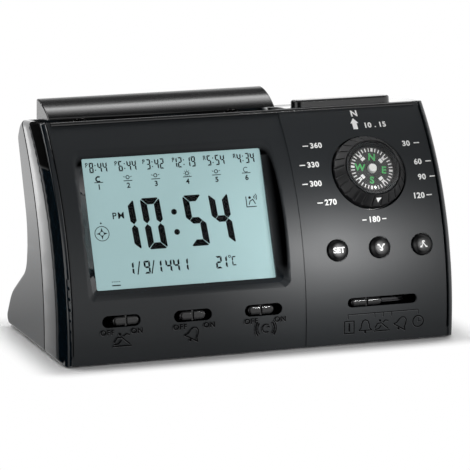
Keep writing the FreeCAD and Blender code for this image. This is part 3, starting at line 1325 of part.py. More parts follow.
def compass_cup():
    """Round cup with a flange under the ring and a post for the pivot; it holds dial and dome."""
    outer = CUP_TOP_RADIUS
    inner = outer - CUP_WALL
    cup = turned([
        (0, -CUP_BOTTOM), (RING_RADIUS, -CUP_BOTTOM), (RING_RADIUS, -CUP_FLANGE_TOP),
        (outer, -CUP_FLANGE_TOP), (outer, CUP_RIM), (inner, CUP_RIM), (inner, -CUP_FLOOR_TOP),
        (PIVOT_POST_RADIUS, -CUP_FLOOR_TOP), (PIVOT_POST_RADIUS, PIVOT_BASE), (0, PIVOT_BASE),
    ])
    return placed(cup, compass_frame())


def compass_dome():
    """Clear domed lens on the cup's rim."""
    base = CUP_RIM + STACK_GAP
    solids = []
    for rim, rise in ((CUP_TOP_RADIUS, DOME_RISE), (CUP_TOP_RADIUS - CUP_WALL, DOME_RISE - DOME_SKIN)):
        radius = (rim ** 2 + rise ** 2) / (2 * rise)
        ball = Part.makeSphere(radius, Vector(0, 0, base + rise - radius))
        solids.append(ball.common(disc(rim, base, base + rise + 1)))
    return placed(solids[0].cut(solids[1]), compass_frame())


def compass_card():
    """Floating dial with the jewel boss under it, the bar magnet and the cap above it."""
    top = DIAL_TOP
    under = top - DIAL_THICKNESS
    jewel_low = under - JEWEL_HEIGHT
    bore = PIVOT_RADIUS + PIVOT_GAP
    dial = disc(DIAL_RADIUS, under, top).fuse(disc(JEWEL_RADIUS, jewel_low, under))
    dial = dial.cut(disc(bore, jewel_low - 1, under)).removeSplitter()
    crown = top + HUB_HEIGHT
    waist = HUB_RADIUS - HUB_GROOVE
    low, high = top + HUB_GROOVE, top + 2 * HUB_GROOVE
    cap = turned([
        (0, top), (HUB_RADIUS, top), (HUB_RADIUS, low), (waist, low), (waist, high),
        (HUB_RADIUS, high), (waist, crown), (0, crown),
    ])
    magnet = plate(MAGNET_WIDTH, MAGNET_LENGTH, under - MAGNET_THICKNESS, under)
    magnet = magnet.cut(disc(JEWEL_RADIUS + 0.02, under - 2, under + 1))
    frame = compass_frame()
    return placed(dial, frame), placed(cap, frame), placed(magnet, frame)


def compass_pivot():
    """Steel pin that stands on the cup's post and carries the dial."""
    top = DIAL_TOP - DIAL_THICKNESS - PIVOT_GAP
    return placed(disc(PIVOT_RADIUS, PIVOT_BASE, top), compass_frame())


def case_screws():
    """Screws that hold the two halves of the case together."""
    screws = []
    for x, z in CASE_SCREWS:
        screw = screw_shape(SCREW_RADIUS, SCREW_LENGTH, SCREW_HEAD_RADIUS, SCREW_HEAD_HEIGHT)
        screw.rotate(Vector(0, 0, 0), X_AXIS, -90)
        screw.translate(Vector(x, seam_y(z) + TUBE_GAP + TUBE_FLOOR, z))
        screws.append(screw)
    return Part.makeCompound(screws)


def rubber_feet():
    """Four rubber feet in their pockets."""
    high = FOOT_THICKNESS - FOOT_PROUD
    return Part.makeCompound([disc(FOOT_RADIUS, -FOOT_PROUD, high, x, y) for x, y in FEET])


def battery_cells():
    """Three cells lying side by side, each turned the other way from the last."""
    cells = []
    for index, y in enumerate(CELL_YS):
        side = 1 if index % 2 == 0 else -1
        tip = side * (BAY_HALF - CONTACT_GAP - CONTACT_THICKNESS - CONTACT_GAP / 2)
        back = X_AXIS * -side
        start = Vector(tip - side * CELL_NUB, y, CELL_Z)
        nub = Part.makeCylinder(CELL_NUB_RADIUS, CELL_NUB + CELL_ROUND, Vector(tip, y, CELL_Z), back)
        body = Part.makeCylinder(CELL_RADIUS, CELL_LENGTH, start, back)
        body = body.makeFillet(CELL_ROUND, [e for e in body.Edges if len(e.Vertexes) == 1])
        cells.append(body.fuse(nub).removeSplitter())
    return Part.makeCompound(cells)


def battery_contacts():
    """Flat contacts at the cells' positive ends and coil contacts at their other ends."""
    flats, coils = [], []
    for index, y in enumerate(CELL_YS):
        side = 1 if index % 2 == 0 else -1
        wall = BAY_HALF - CONTACT_GAP
        half = CONTACT_SIDE / 2
        for place, group in ((side, flats), (-side, coils)):
            xs = sorted((place * wall, place * (wall - CONTACT_THICKNESS)))
            group.append(block(*xs, y - half, y + half, CELL_Z - half, CELL_Z + half))
        room = 2 * (wall - CONTACT_THICKNESS) - CONTACT_GAP / 2 - CELL_NUB - CELL_LENGTH
        length = room - CONTACT_GAP
        spring = coil(CELL_SPRING_RADIUS, SPRING_WIRE_RADIUS, length, CELL_SPRING_TURNS)
        spring.rotate(Vector(0, 0, 0), Y_AXIS, 90 * side)
        spring.translate(Vector(-side * (wall - CONTACT_THICKNESS), y, CELL_Z))
        coils[-1] = coils[-1].fuse(spring)
    return Part.makeCompound(flats), Part.makeCompound(coils)


def door_pins(spare=0.0):
    """Hinge pins at the door's front corners, or with a spare their holes in the case."""
    reach = DOOR_HALF + DOOR_PIN_LENGTH + spare
    start = Vector(-reach, DOOR_FRONT + DOOR_THICKNESS / 2, DOOR_THICKNESS / 2)
    return Part.makeCylinder(DOOR_PIN_RADIUS + spare, 2 * reach, start, X_AXIS)


def battery_door():
    """Flat door under the battery bay: round front edge, hinge pins and grip ribs for a thumb."""
    half = DOOR_THICKNESS / 2
    hinge = DOOR_FRONT + half
    door = block(-DOOR_HALF, DOOR_HALF, hinge, DOOR_BACK, 0, DOOR_THICKNESS)
    edge = Part.makeCylinder(half, 2 * DOOR_HALF, Vector(-DOOR_HALF, hinge, half), X_AXIS)
    door = door.fuse([edge, door_pins()]).removeSplitter()
    ribs = []
    for rib in range(DOOR_RIBS):
        y = DOOR_BACK - DOOR_RIB_INSET - rib * DOOR_RIB_PITCH
        ribs.append(stadium(DOOR_RIB_LENGTH, DOOR_RIB_WIDTH, -1, DOOR_RIB_DEPTH, 0, y))
    return door.cut(ribs)


def inside_wires():
    """Two wires to the loudspeaker and two to the battery contacts, as a red and a black pair."""
    board, head = window_frame(), head_frame()
    back = -HOLDER_BACK - BOARD_THICKNESS - WIRE_RADIUS
    speaker_low = -WALL - STACK_GAP - SPEAKER_FLANGE - SPEAKER_BASKET - STACK_GAP
    pairs = []
    for index, (side, cell) in enumerate(((1, CELL_YS[0]), (-1, CELL_YS[-1]))):
        x = WIRE_X - index * WIRE_PITCH
        start = board.multVec(Vector(x, WIRE_TOP_Y, back))
        end = head.multVec(Vector(side * WIRE_SPEAKER_X, 0, speaker_low))
        off = end + head.Rotation.multVec(Vector(0, 0, -SPEAKER_MAGNET_HEIGHT - WIRE_BEND))
        sag = (start + end) / 2 + Vector(0, 0, -WIRE_SAG)
        speaker = wire([end, off, sag, start])
        plug = board.multVec(Vector(x, WIRE_LOW_Y, back))
        plate_x = side * (BAY_HALF - STACK_GAP / 2)
        contact = Vector(plate_x, cell, CELL_Z)
        out = Vector(plate_x + side * WIRE_SAG / 2, cell, CELL_Z)
        over = Vector(plate_x / 2, (cell + plug.y) / 2, (CELL_Z + plug.z) / 2 + WIRE_RISE)
        pairs.append(Part.makeCompound([speaker, wire([contact, out, over, plug])]))
    return pairs


def loudspeaker():
    """Loudspeaker behind the grille: basket, paper cone and magnet."""
    frame = head_frame()
    front = -WALL - STACK_GAP
    back = front - SPEAKER_FLANGE
    low = back - SPEAKER_BASKET
    cone_low = front - CONE_DEPTH
    neck = SPEAKER_MAGNET_RADIUS * 0.5
    mouth = SPEAKER_RADIUS - SPEAKER_RIM
    basket = turned([
        (neck, low), (SPEAKER_BASKET_RADIUS, low), (SPEAKER_RADIUS, back), (SPEAKER_RADIUS, front),
        (mouth, front), (mouth, back), (neck, low + SPEAKER_FLANGE),
    ])
    rim = mouth - STACK_GAP
    cone = turned([
        (0, cone_low), (neck, cone_low), (rim, front - STACK_GAP - CONE_SKIN), (rim, front - STACK_GAP),
        (neck - CONE_SKIN, cone_low + CONE_SKIN), (0, cone_low + CONE_SKIN),
    ])
    magnet = disc(SPEAKER_MAGNET_RADIUS, low - SPEAKER_MAGNET_HEIGHT, low)
    return placed(basket, frame), placed(cone, frame), placed(magnet, frame)


def make_pieces():
    """Every piece of the clock, by the name of its node."""
    outer, inner = form(), form(WALL)
    chip, crystal, cans = board_parts()
    bodies, plungers = press_switches()
    dial, cap, magnet = compass_card()
    flats, coils = battery_contacts()
    basket, cone, speaker_magnet = loudspeaker()
    red, black = inside_wires()
    pieces = {
        "front_case": front_case(outer, inner),
        "rear_case": rear_case(outer, inner),
        "display_lens": stack_plate(LENS_FRONT, LENS_THICKNESS),
        "display_glass": stack_plate(GLASS_FRONT, GLASS_THICKNESS),
        "light_plate": light_plate(),
        "display_holder": display_holder(),
        "contact_strip": contact_strip(),
        "main_board": main_board(),
        "main_chip": chip,
        "quartz_crystal": crystal,
        "board_capacitors": cans,
        "long_board_screws": long_board_screws(),
        "short_board_screws": short_board_screws(),
        "switch_board": switch_board(),
        "slide_switch_bodies": slide_bodies(),
        "button_board": button_board(),
        "top_board": top_board(),
        "press_switch_bodies": bodies,
        "press_switch_plungers": plungers,
        "press_bar": press_bar(),
        "bar_springs": bar_springs(),
        "top_key": top_key(),
        "compass_ring": compass_ring(),
        "compass_cup": compass_cup(),
        "compass_dome": compass_dome(),
        "compass_dial": dial,
        "compass_cap": cap,
        "compass_magnet": magnet,
        "compass_pivot": compass_pivot(),
        "case_screws": case_screws(),
        "rubber_feet": rubber_feet(),
        "battery_cells": battery_cells(),
        "battery_plates": flats,
        "battery_springs": coils,
        "battery_door": battery_door(),
        "speaker_basket": basket,
        "speaker_cone": cone,
        "speaker_magnet": speaker_magnet,
        "red_wires": red,
        "black_wires": black,
    }
    pieces.update({name: press_button(x) for name, x in BUTTON_PLACES.items()})
    pieces.update({name: slide_knob(name) for name in SLIDE_SWITCHES})
    return pieces


def main():
    """Write each piece, moved to the clock's own origin, to its own file."""
    os.makedirs("parts", exist_ok=True)
    for name, shape in make_pieces().items():
        moved = shape.copy()
        moved.Placement = Placement(ORIGIN_SHIFT, Rotation()).multiply(moved.Placement)
        print(name, len(moved.Solids), moved.isValid(), round(moved.Volume, 1))
        moved.exportStep("parts/" + name + ".step")


if __name__ == "__main__":
    main()
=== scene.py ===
"""Looks of a table prayer clock: finishes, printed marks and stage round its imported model."""
import math

import bmesh
import bpy
from bpy.props import FloatProperty, FloatVectorProperty, PointerProperty
from mathutils import Matrix, Vector
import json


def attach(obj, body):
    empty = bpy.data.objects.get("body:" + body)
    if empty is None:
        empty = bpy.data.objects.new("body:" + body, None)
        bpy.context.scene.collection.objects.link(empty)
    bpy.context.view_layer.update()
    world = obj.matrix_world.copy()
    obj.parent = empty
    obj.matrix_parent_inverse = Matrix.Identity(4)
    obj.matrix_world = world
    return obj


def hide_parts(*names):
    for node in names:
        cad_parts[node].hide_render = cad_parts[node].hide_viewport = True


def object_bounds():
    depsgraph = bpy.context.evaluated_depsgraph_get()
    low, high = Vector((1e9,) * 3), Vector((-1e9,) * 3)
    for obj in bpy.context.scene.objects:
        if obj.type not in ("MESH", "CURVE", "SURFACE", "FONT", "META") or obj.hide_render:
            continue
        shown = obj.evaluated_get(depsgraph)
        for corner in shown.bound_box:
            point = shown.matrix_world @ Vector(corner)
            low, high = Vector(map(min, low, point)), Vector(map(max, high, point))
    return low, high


bl_info = {
    "name": "Prayer clock looks",
    "version": (1, 0, 0),
    "blender": (4, 5, 0),
    "location": "3D View > Sidebar > Clock",
    "description": "Finishes, printed marks and a studio stage for a table prayer clock",
    "category": "Object",
}

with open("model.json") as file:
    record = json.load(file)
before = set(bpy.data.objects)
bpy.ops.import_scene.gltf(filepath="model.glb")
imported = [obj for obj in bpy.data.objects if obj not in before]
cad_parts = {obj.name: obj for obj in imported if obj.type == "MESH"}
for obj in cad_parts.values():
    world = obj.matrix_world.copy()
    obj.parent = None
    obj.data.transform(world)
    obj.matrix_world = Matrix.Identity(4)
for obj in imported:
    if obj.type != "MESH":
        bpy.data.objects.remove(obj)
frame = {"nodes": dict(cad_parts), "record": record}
CAD_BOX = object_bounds()

MM = 0.001

# ---- places on the clock, in millimetres ----
FACE_FOOT = (-51.181, 0.8)
FACE_HEAD = (-7.481, 116.6)
FACE_RADIUS = 143.5
FACE_EDGE = 101.0
SEAM_AXIS = (147.608, 9.934)
SEAM_RADIUS = 165.641
# Half widths of the painted shade along the case's joint: full inside the first, none beyond the second.
SEAM_SHADE_HALF_WIDTH = (0.6, 0.85)
WINDOW_CENTRE = (-38.7, -33.466, 68.590)
WINDOW_LEAN = math.radians(21.8)
GLASS_TOP = -2.4
COMPASS_PLACE = (64.5, 88.6)
RING_EDGE = (18.7, 0.9)
RING_RIM = (15.1, 6.8)
DIAL_TOP = 4.2
DIAL_TURN = math.radians(-10.0)
BUTTON_ARC = 48.8
BUTTON_X = {"set_button": 41.5, "down_button": 64.6, "up_button": 87.9}
BUTTON_TOP = 2.6
BUTTON_TOP_RADIUS = 3.8
BUTTON_DOME = 0.3
SWITCH_MARKS = {"prayer": (-82.9, -67.4, -74.8), "alarm": (-44.7, -29.1, -37.6), "snooze": (-6.8, 8.9, 1.1)}
SWITCH_WORDS_ARC = 14.9
MODE_LINE = (45.7, 84.3, 15.4)
LIP_ENDS = (-98.4, 98.0)
SMOOTH_NODES = ("front_case", "rear_case", "press_bar", "top_key", "compass_ring", "compass_dome",
                "compass_cap", "compass_cup", "set_button", "down_button", "up_button", "battery_door",
                "rubber_feet")
MODE_ICONS = (46.4, 55.2, 64.6, 75.2, 84.3)
# Painted shade: the recess's right and upper walls and the slots' walls, given as limits of the hollow
# masks.
PAINTED_SHADE_HOLLOWS = {
    "recess_right": (("X", 8.0, 13.0), ("X", 30.0, 26.0), ("Z", 36.0, 44.0)),
    "recess_top": (("X", 30.0, 26.0), ("Z", 95.0, 97.0)),
    "slot_depths": (("X", 1.0 - FACE_EDGE, 2.0 - FACE_EDGE), ("X", FACE_EDGE - 1.0, FACE_EDGE - 2.0),
                    ("Z", 30.0, 29.0), ("Z", 14.0, 15.0)),
}


def face_circle():
    """Centre (y, z) of the face's arc in millimetres, and its lean at the foot in radians."""
    foot, head = Vector(FACE_FOOT), Vector(FACE_HEAD)
    chord = head - foot
    reach = math.sqrt(FACE_RADIUS ** 2 - (chord.length / 2) ** 2)
    centre = (foot + head) / 2 + Vector((chord.y, -chord.x)) * reach / chord.length
    return centre, math.asin((FACE_FOOT[1] - centre.y) / FACE_RADIUS)


FACE_CENTRE, FOOT_LEAN = face_circle()


def on_face(x, arc, lift=0.0):
    """Point in metres at a place on the face and a height above it, from millimetres."""
    lean = FOOT_LEAN + arc / FACE_RADIUS
    radius = FACE_RADIUS + lift
    y, z = FACE_CENTRE.x - radius * math.cos(lean), FACE_CENTRE.y + radius * math.sin(lean)
    return Vector((x, y, z)) * MM


def face_frame(x, arc):
    """Matrix at a place on the face: local x across, y up the face, z out of it, in metres."""
    lean = FOOT_LEAN + arc / FACE_RADIUS
    return Matrix.Translation(on_face(x, arc)) @ Matrix.Rotation(math.pi / 2 - lean, 4, "X")


def window_frame():
    """Matrix at the middle of the display window, in metres."""
    return Matrix.Translation(Vector(WINDOW_CENTRE) * MM) @ Matrix.Rotation(
        math.pi / 2 - WINDOW_LEAN, 4, "X")


def in_frame(matrix, lift=0.0):
    """Function that puts local millimetres (u, v, w) in a frame, at a height above it."""
    return lambda u, v, w: matrix @ (Vector((u, v, w + lift)) * MM)


def bent_on_face(x, arc, lift=0.0):
    """Function that lays local millimetres (u, v, w) on the curved face round a place on it."""
    return lambda u, v, w: on_face(x + u, arc + v, w + lift)


def on_button(x):
    """Function that lays local millimetres (u, v, w) on the domed top of a press button."""
    matrix = face_frame(x, BUTTON_ARC)
    radius = (BUTTON_TOP_RADIUS ** 2 + BUTTON_DOME ** 2) / (2 * BUTTON_DOME)

    def place(u, v, w):
        drop = radius - math.sqrt(radius ** 2 - u * u - v * v)
        return matrix @ (Vector((u, v, BUTTON_TOP - drop + w)) * MM)
    return place


def on_ring(angle):
    """Function that puts local millimetres on the ring's cone: u across, v up the slope, w out."""
    run, rise = RING_EDGE[0] - RING_RIM[0], RING_RIM[1] - RING_EDGE[1]
    slope = math.atan2(rise, run)
    middle = Vector(((RING_EDGE[0] + RING_RIM[0]) / 2, 0.0, (RING_EDGE[1] + RING_RIM[1]) / 2))
    matrix = face_frame(*COMPASS_PLACE) @ Matrix.Rotation(angle, 4, "Z")
    up = Vector((-math.cos(slope), 0.0, math.sin(slope)))
    out = Vector((math.sin(slope), 0.0, math.cos(slope)))
    across = up.cross(out)
    return lambda u, v, w: matrix @ ((middle + across * u + up * v + out * w) * MM)


# ---- marks: thin closed solids gathered in one mesh ----

def cap_height():
    """Height of a capital letter of the built-in font at size 1."""
    if "value" not in cap_height.__dict__:
        mesh = letter_mesh("H", 1.0, 0.0, 0.0, 0.01)
        cap_height.value = max(v.co.y for v in mesh.vertices) - min(v.co.y for v in mesh.vertices)
        bpy.data.meshes.remove(mesh)
    return cap_height.value


def letter_mesh(text, size, bold, spacing, depth):
    """Closed mesh of a line of text in the plane z = 0, centred across."""
    curve = bpy.data.curves.new("letters", "FONT")
    curve.body = text
    curve.size = size
    curve.align_x = "CENTER"
    curve.offset = bold
    curve.space_character = 1.0 + spacing
    curve.extrude = depth / 2
    curve.resolution_u = 4
    holder = bpy.data.objects.new("letters", curve)
    bpy.context.scene.collection.objects.link(holder)
    graph = bpy.context.evaluated_depsgraph_get()
    mesh = bpy.data.meshes.new_from_object(holder.evaluated_get(graph))
    bpy.data.objects.remove(holder)
    bpy.data.curves.remove(curve)
    return mesh


class Marks:
    """Printed or cut marks of one colour, each a thin closed solid put in place by a function."""

    def __init__(self, place, thickness):
        self.mesh = bmesh.new()
        self.place = place
        self.thickness = thickness

    def area(self, outline):
        """Filled area inside an outline of (u, v) corners."""
        turn = sum(a[0] * b[1] - b[0] * a[1] for a, b in zip(outline, outline[1:] + outline[:1]))
        corners = list(outline) if turn > 0 else list(reversed(outline))
        low = [self.mesh.verts.new(self.place(u, v, 0.0)) for u, v in corners]
        high = [self.mesh.verts.new(self.place(u, v, self.thickness)) for u, v in corners]
        self.mesh.faces.new(list(reversed(low)))
        self.mesh.faces.new(high)
        for i in range(len(corners)):
            j = (i + 1) % len(corners)
            self.mesh.faces.new((low[i], low[j], high[j], high[i]))

    def stroke(self, points, width):
        """Line of one width through (u, v) points, with mitred corners."""
        path = [Vector(p) for p in points]
        left, right = [], []
        for i, point in enumerate(path):
            before = (point - path[i - 1]).normalized() if i else None
            after = (path[i + 1] - point).normalized() if i + 1 < len(path) else None
            along = ((before or after) + (after or before)).normalized()
            side = Vector((-along.y, along.x))
            reach = width / 2 / max(0.4, abs(along.dot(after or before)))
            left.append(point + side * reach)
            right.append(point - side * reach)
        self.area([tuple(p) for p in right + list(reversed(left))])

    def ring(self, u, v, radius, width, sides=40, start=0.0, sweep=2 * math.pi):
        """Circular line, whole or part, round a place."""
        steps = max(3, round(sides * sweep / (2 * math.pi)))
        whole = sweep > 2 * math.pi - 1e-6
        loops = []
        for step in range(steps if whole else steps + 1):
            angle = start + sweep * step / steps
            c, s = math.cos(angle), math.sin(angle)
            inner, outer = radius - width / 2, radius + width / 2
            loops.append([self.mesh.verts.new(self.place(u + r * c, v + r * s, w))
                          for r, w in ((inner, 0), (outer, 0), (outer, self.thickness),
                                       (inner, self.thickness))])
        count = len(loops)
        for i in range(count if whole else count - 1):
            a, b = loops[i], loops[(i + 1) % count]
            for k in range(4):
                m = (k + 1) % 4
                self.mesh.faces.new((a[k], b[k], b[m], a[m]))
        if not whole:
            self.mesh.faces.new(loops[0])
            self.mesh.faces.new(list(reversed(loops[-1])))

    def dot(self, u, v, radius, sides=20):
        """Filled round dot."""
        step = 2 * math.pi / sides
        self.area([(u + radius * math.cos(i * step), v + radius * math.sin(i * step))
                   for i in range(sides)])

    def words(self, text, u, v, height, bold=0.0, spacing=0.0):
        """Line of text centred across on u, with its letters standing on v."""
        size = height / cap_height()
        mesh = letter_mesh(text, size, bold, spacing, self.thickness)
        made = [self.mesh.verts.new(self.place(u + p.co.x, v + p.co.y, p.co.z + self.thickness / 2))
                for p in mesh.vertices]
        for polygon in mesh.polygons:
            self.mesh.faces.new([made[i] for i in polygon.vertices])
        bpy.data.meshes.remove(mesh)

    def finish(self, name, material, body, slot):
        """Object with these marks, riding on a body."""
        bmesh.ops.remove_doubles(self.mesh, verts=self.mesh.verts, dist=1e-7)
        bmesh.ops.recalc_face_normals(self.mesh, faces=self.mesh.faces)
        mesh = bpy.data.meshes.new(name)
        self.mesh.to_mesh(mesh)
        self.mesh.free()
        mesh.materials.append(material)
        piece = bpy.data.objects.new(name, mesh)
        bpy.context.scene.collection.objects.link(piece)
        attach(piece, body)
        return piece


# ---- figures and pictograms, drawn on any Marks ----

SEGMENTS = {
    "0": "ABCDEF", "1": "BC", "2": "ABGED", "3": "ABGCD", "4": "FGBC", "5": "AFGCD", "6": "AFGECD",
    "7": "ABC", "8": "ABCDEFG", "9": "ABCDFG", "C": "ADEF", "P": "ABEFG", "A": "ABCEFG",
}


def segment_outlines(width, height, stroke, gap, chamfer):
    """Outlines of the seven segments in a box with its lower left corner at the origin."""
    w, h, t, g, c = width, height, stroke, gap, chamfer
    m = h / 2
    top = [(c / 2 + g, h - c / 2 + g), (c, h), (w - c, h), (w - c / 2 - g, h - c / 2 + g),
           (w - t - g, h - t), (t + g, h - t)]
    left = [(0, m + t / 2 + g), (0, h - c), (c / 2 - g, h - c / 2 - g), (t, h - t - g),
            (t, m + t / 2 + g), (t / 2, m + g)]
    middle = [(t / 2 + g, m), (t + g, m + t / 2), (w - t - g, m + t / 2), (w - t / 2 - g, m),
              (w - t - g, m - t / 2), (t + g, m - t / 2)]

    def across(points):
        return [(w - u, v) for u, v in points]

    def over(points):
        return [(u, h - v) for u, v in points]
    return {"A": top, "D": over(top), "F": left, "B": across(left), "E": over(left),
            "C": over(across(left)), "G": middle}


def figure(marks, sign, u, v, width, height, stroke, gap, chamfer, lean=0.0):
    """One figure of lit segments, with its lower left corner at a place and its top leaning."""
    outlines = segment_outlines(width, height, stroke, gap, chamfer)
    slip = math.tan(lean)
    for name in SEGMENTS[sign]:
        marks.area([(u + a - slip * b, v + b) for a, b in outlines[name]])


def turned_points(points, u, v, size, turn):
    """Points of a pictogram of unit size at a place, scaled and turned."""
    c, s = math.cos(turn), math.sin(turn)
    return [(u + size * (a * c - b * s), v + size * (a * s + b * c)) for a, b in points]


def bell(marks, u, v, size, width, turn=0.0):
    """Outlined hand bell."""
    dome = [(-0.5, -0.34), (-0.34, -0.16), (-0.3, 0.12), (-0.2, 0.36), (0.0, 0.46), (0.2, 0.36),
            (0.3, 0.12), (0.34, -0.16), (0.5, -0.34), (-0.5, -0.34)]
    marks.stroke(turned_points(dome, u, v, size, turn), width)
    clapper = turned_points([(0.0, -0.46)], u, v, size, turn)[0]
    marks.dot(*clapper, size * 0.09, 10)


def seated_figure(marks, u, v, size, width):
    """Figure of a few strokes: head, bent back and folded legs."""
    for points in ([(-0.62, -0.2), (-0.42, 0.12), (-0.08, 0.16), (0.2, -0.1), (0.5, -0.34)],
                   [(-0.62, -0.34), (-0.3, -0.3), (-0.1, -0.04)],
                   [(0.02, 0.2), (0.26, 0.36), (0.5, 0.3)], [(-0.7, -0.46), (0.62, -0.46)]):
        marks.stroke(turned_points(points, u, v, size, 0.0), width)
    marks.dot(u - 0.2 * size, v + 0.36 * size, 0.1 * size, 10)


def sound_waves(marks, u, v, radius, width, sides=(-1, 1), count=2, step=0.75):
    """Arcs that spread to one or both sides of a place."""
    for side in sides:
        for index in range(count):
            start = -0.7 if side > 0 else math.pi - 0.7
            marks.ring(u, v, radius + index * step, width, 40, start, 1.4)


def box_outline(marks, left, right, low, high, width):
    """Four lines round a rectangle."""
    half = width / 2
    marks.area([(left - half, low - half), (right + half, low - half), (right + half, low + half),
                (left - half, low + half)])
    marks.area([(left - half, high - half), (right + half, high - half), (right + half, high + half),
                (left - half, high + half)])
    for x in (left, right):
        marks.area([(x - half, low + half), (x + half, low + half), (x + half, high - half),
                    (x - half, high - half)])


# ---- shader groups shared by the finishes ----

def group_socket(group, name, way, kind, value=None):
    """Named input or output of a shader node group."""
    socket = group.interface.new_socket(name=name, in_out=way, socket_type=kind)
    if value is not None:
        socket.default_value = value


def math_node(nodes, links, operation, *values):
    """Result of a Math node on sockets and numbers."""
    node = nodes.new("ShaderNodeMath")
    node.operation = operation
    for entry, value in zip(node.inputs, values):
        if isinstance(value, (int, float)):
            entry.default_value = value
        else:
            links.new(value, entry)
    return node.outputs[0]


def range_node(nodes, links, value, low, high, start=0.0, end=1.0):
    """Map Range node that carries a value from low..high to start..end."""
    node = nodes.new("ShaderNodeMapRange")
    for name, number in (("From Min", low), ("From Max", high), ("To Min", start), ("To Max", end)):
        node.inputs[name].default_value = number
    links.new(value, node.inputs["Value"])
    return node


def mask_group(name):
    """New shader group from a place to a mask: the group, its nodes and links, and both sockets."""
    group = bpy.data.node_groups.new(name, "ShaderNodeTree")
    group_socket(group, "Vector", "INPUT", "NodeSocketVector")
    group_socket(group, "Mask", "OUTPUT", "NodeSocketFloat")
    given, result = group.nodes.new("NodeGroupInput"), group.nodes.new("NodeGroupOutput")
    return group, group.nodes, group.links, given.outputs["Vector"], result.inputs["Mask"]


def axis_distance(nodes, links, place, centre):
    """Distance of a place from the axis along x through a (y, z) centre in millimetres."""
    flat = nodes.new("ShaderNodeVectorMath")
    flat.operation = "MULTIPLY"
    flat.inputs[1].default_value = (0.0, 1.0, 1.0)
    away = nodes.new("ShaderNodeVectorMath")
    away.operation = "DISTANCE"
    away.inputs[1].default_value = (0.0, centre[0] * MM, centre[1] * MM)
    links.new(place, flat.inputs[0])
    links.new(flat.outputs["Vector"], away.inputs[0])
    return away.outputs["Value"]


def within_limits(nodes, links, place, limits):
    """Product of masks, each an axis (R from the face's axis, X or Z) with the millimetres at which
    the mask is still 0 and where it has reached 1."""
    parts = nodes.new("ShaderNodeSeparateXYZ")
    links.new(place, parts.inputs["Vector"])
    values = {"X": parts.outputs["X"], "Z": parts.outputs["Z"],
              "R": axis_distance(nodes, links, place, FACE_CENTRE)}
    last = 1.0
    for axis, low, high in limits:
        mask = range_node(nodes, links, values[axis], low * MM, high * MM)
        last = math_node(nodes, links, "MULTIPLY", last, mask.outputs["Result"])
    return last


def grain_group():
    """Fine moulded grain: a height for the bump, and a roughness that drifts over the surface."""
    found = bpy.data.node_groups.get("moulded_grain")
    if found:
        return found
    group = bpy.data.node_groups.new("moulded_grain", "ShaderNodeTree")
    group_socket(group, "Vector", "INPUT", "NodeSocketVector")
    group_socket(group, "Grain Scale", "INPUT", "NodeSocketFloat", 2600.0)
    group_socket(group, "Roughness", "INPUT", "NodeSocketFloat", 0.4)
    group_socket(group, "Drift", "INPUT", "NodeSocketFloat", 0.05)
    group_socket(group, "Height", "OUTPUT", "NodeSocketFloat")
    group_socket(group, "Roughness", "OUTPUT", "NodeSocketFloat")
    nodes, links = group.nodes, group.links
    given, result = nodes.new("NodeGroupInput"), nodes.new("NodeGroupOutput")
    grain = nodes.new("ShaderNodeTexNoise")
    grain.inputs["Detail"].default_value = 2.0
    patches = nodes.new("ShaderNodeTexNoise")
    patches.inputs["Scale"].default_value = 45.0
    patches.inputs["Detail"].default_value = 4.0
    for texture in (grain, patches):
        links.new(given.outputs["Vector"], texture.inputs["Vector"])
    links.new(given.outputs["Grain Scale"], grain.inputs["Scale"])
    centred = math_node(nodes, links, "SUBTRACT", patches.outputs["Fac"], 0.5)
    drift = math_node(nodes, links, "MULTIPLY_ADD", centred, given.outputs["Drift"],
                      given.outputs["Roughness"])
    links.new(grain.outputs["Fac"], result.inputs["Height"])
    links.new(drift, result.inputs["Roughness"])
    return group


def new_finish(name):
    """Empty material with a Principled shader, its nodes and links, and object coordinates."""
    material = bpy.data.materials.new(name)
    material.use_nodes = True
    nodes, links = material.node_tree.nodes, material.node_tree.links
    shader = nodes["Principled BSDF"]
    place = nodes.new("ShaderNodeTexCoord").outputs["Object"]
    return material, nodes, links, shader, place


def moulded(name, colour, roughness, grain=2600.0, depth=0.00002, drift=0.06, strength=0.35,
            shine=0.5):
    """Moulded plastic with a fine grain."""
    material, nodes, links, shader, place = new_finish(name)
    shader.inputs["Specular IOR Level"].default_value = shine
    shader.inputs["Base Color"].default_value = (*colour, 1.0)
    group = nodes.new("ShaderNodeGroup")
    group.node_tree = grain_group()
    group.inputs["Grain Scale"].default_value = grain
    group.inputs["Roughness"].default_value = roughness
    group.inputs["Drift"].default_value = drift
    bump = nodes.new("ShaderNodeBump")
    bump.inputs["Strength"].default_value = strength
    bump.inputs["Distance"].default_value = depth
    links.new(place, group.inputs["Vector"])
    links.new(group.outputs["Roughness"], shader.inputs["Roughness"])
    links.new(group.outputs["Height"], bump.inputs["Height"])
    links.new(bump.outputs["Normal"], shader.inputs["Normal"])
    return material


def face_mask_group():
    """1 on the grained face and 0 on the smooth cheeks, back and recesses, softly between."""
    group, nodes, links, place, result = mask_group("grained_face")
    links.new(within_limits(nodes, links, place, (("R", FACE_RADIUS - 2.6, FACE_RADIUS - 2.0),
                                                  ("X", -FACE_EDGE, 0.4 - FACE_EDGE))), result)
    return group


def joint_shade_mask_group():
    """1 along the joint between the two halves of the case, where shade is painted, 0 elsewhere."""
    group, nodes, links, place, result = mask_group("case_joint_shade")
    away = axis_distance(nodes, links, place, SEAM_AXIS)
    off = math_node(nodes, links, "SUBTRACT", away, (SEAM_RADIUS - 0.15) * MM)
    size = math_node(nodes, links, "ABSOLUTE", off)
    mask = range_node(nodes, links, size, SEAM_SHADE_HALF_WIDTH[1] * MM, SEAM_SHADE_HALF_WIDTH[0] * MM)
    links.new(mask.outputs["Result"], result)
    return group


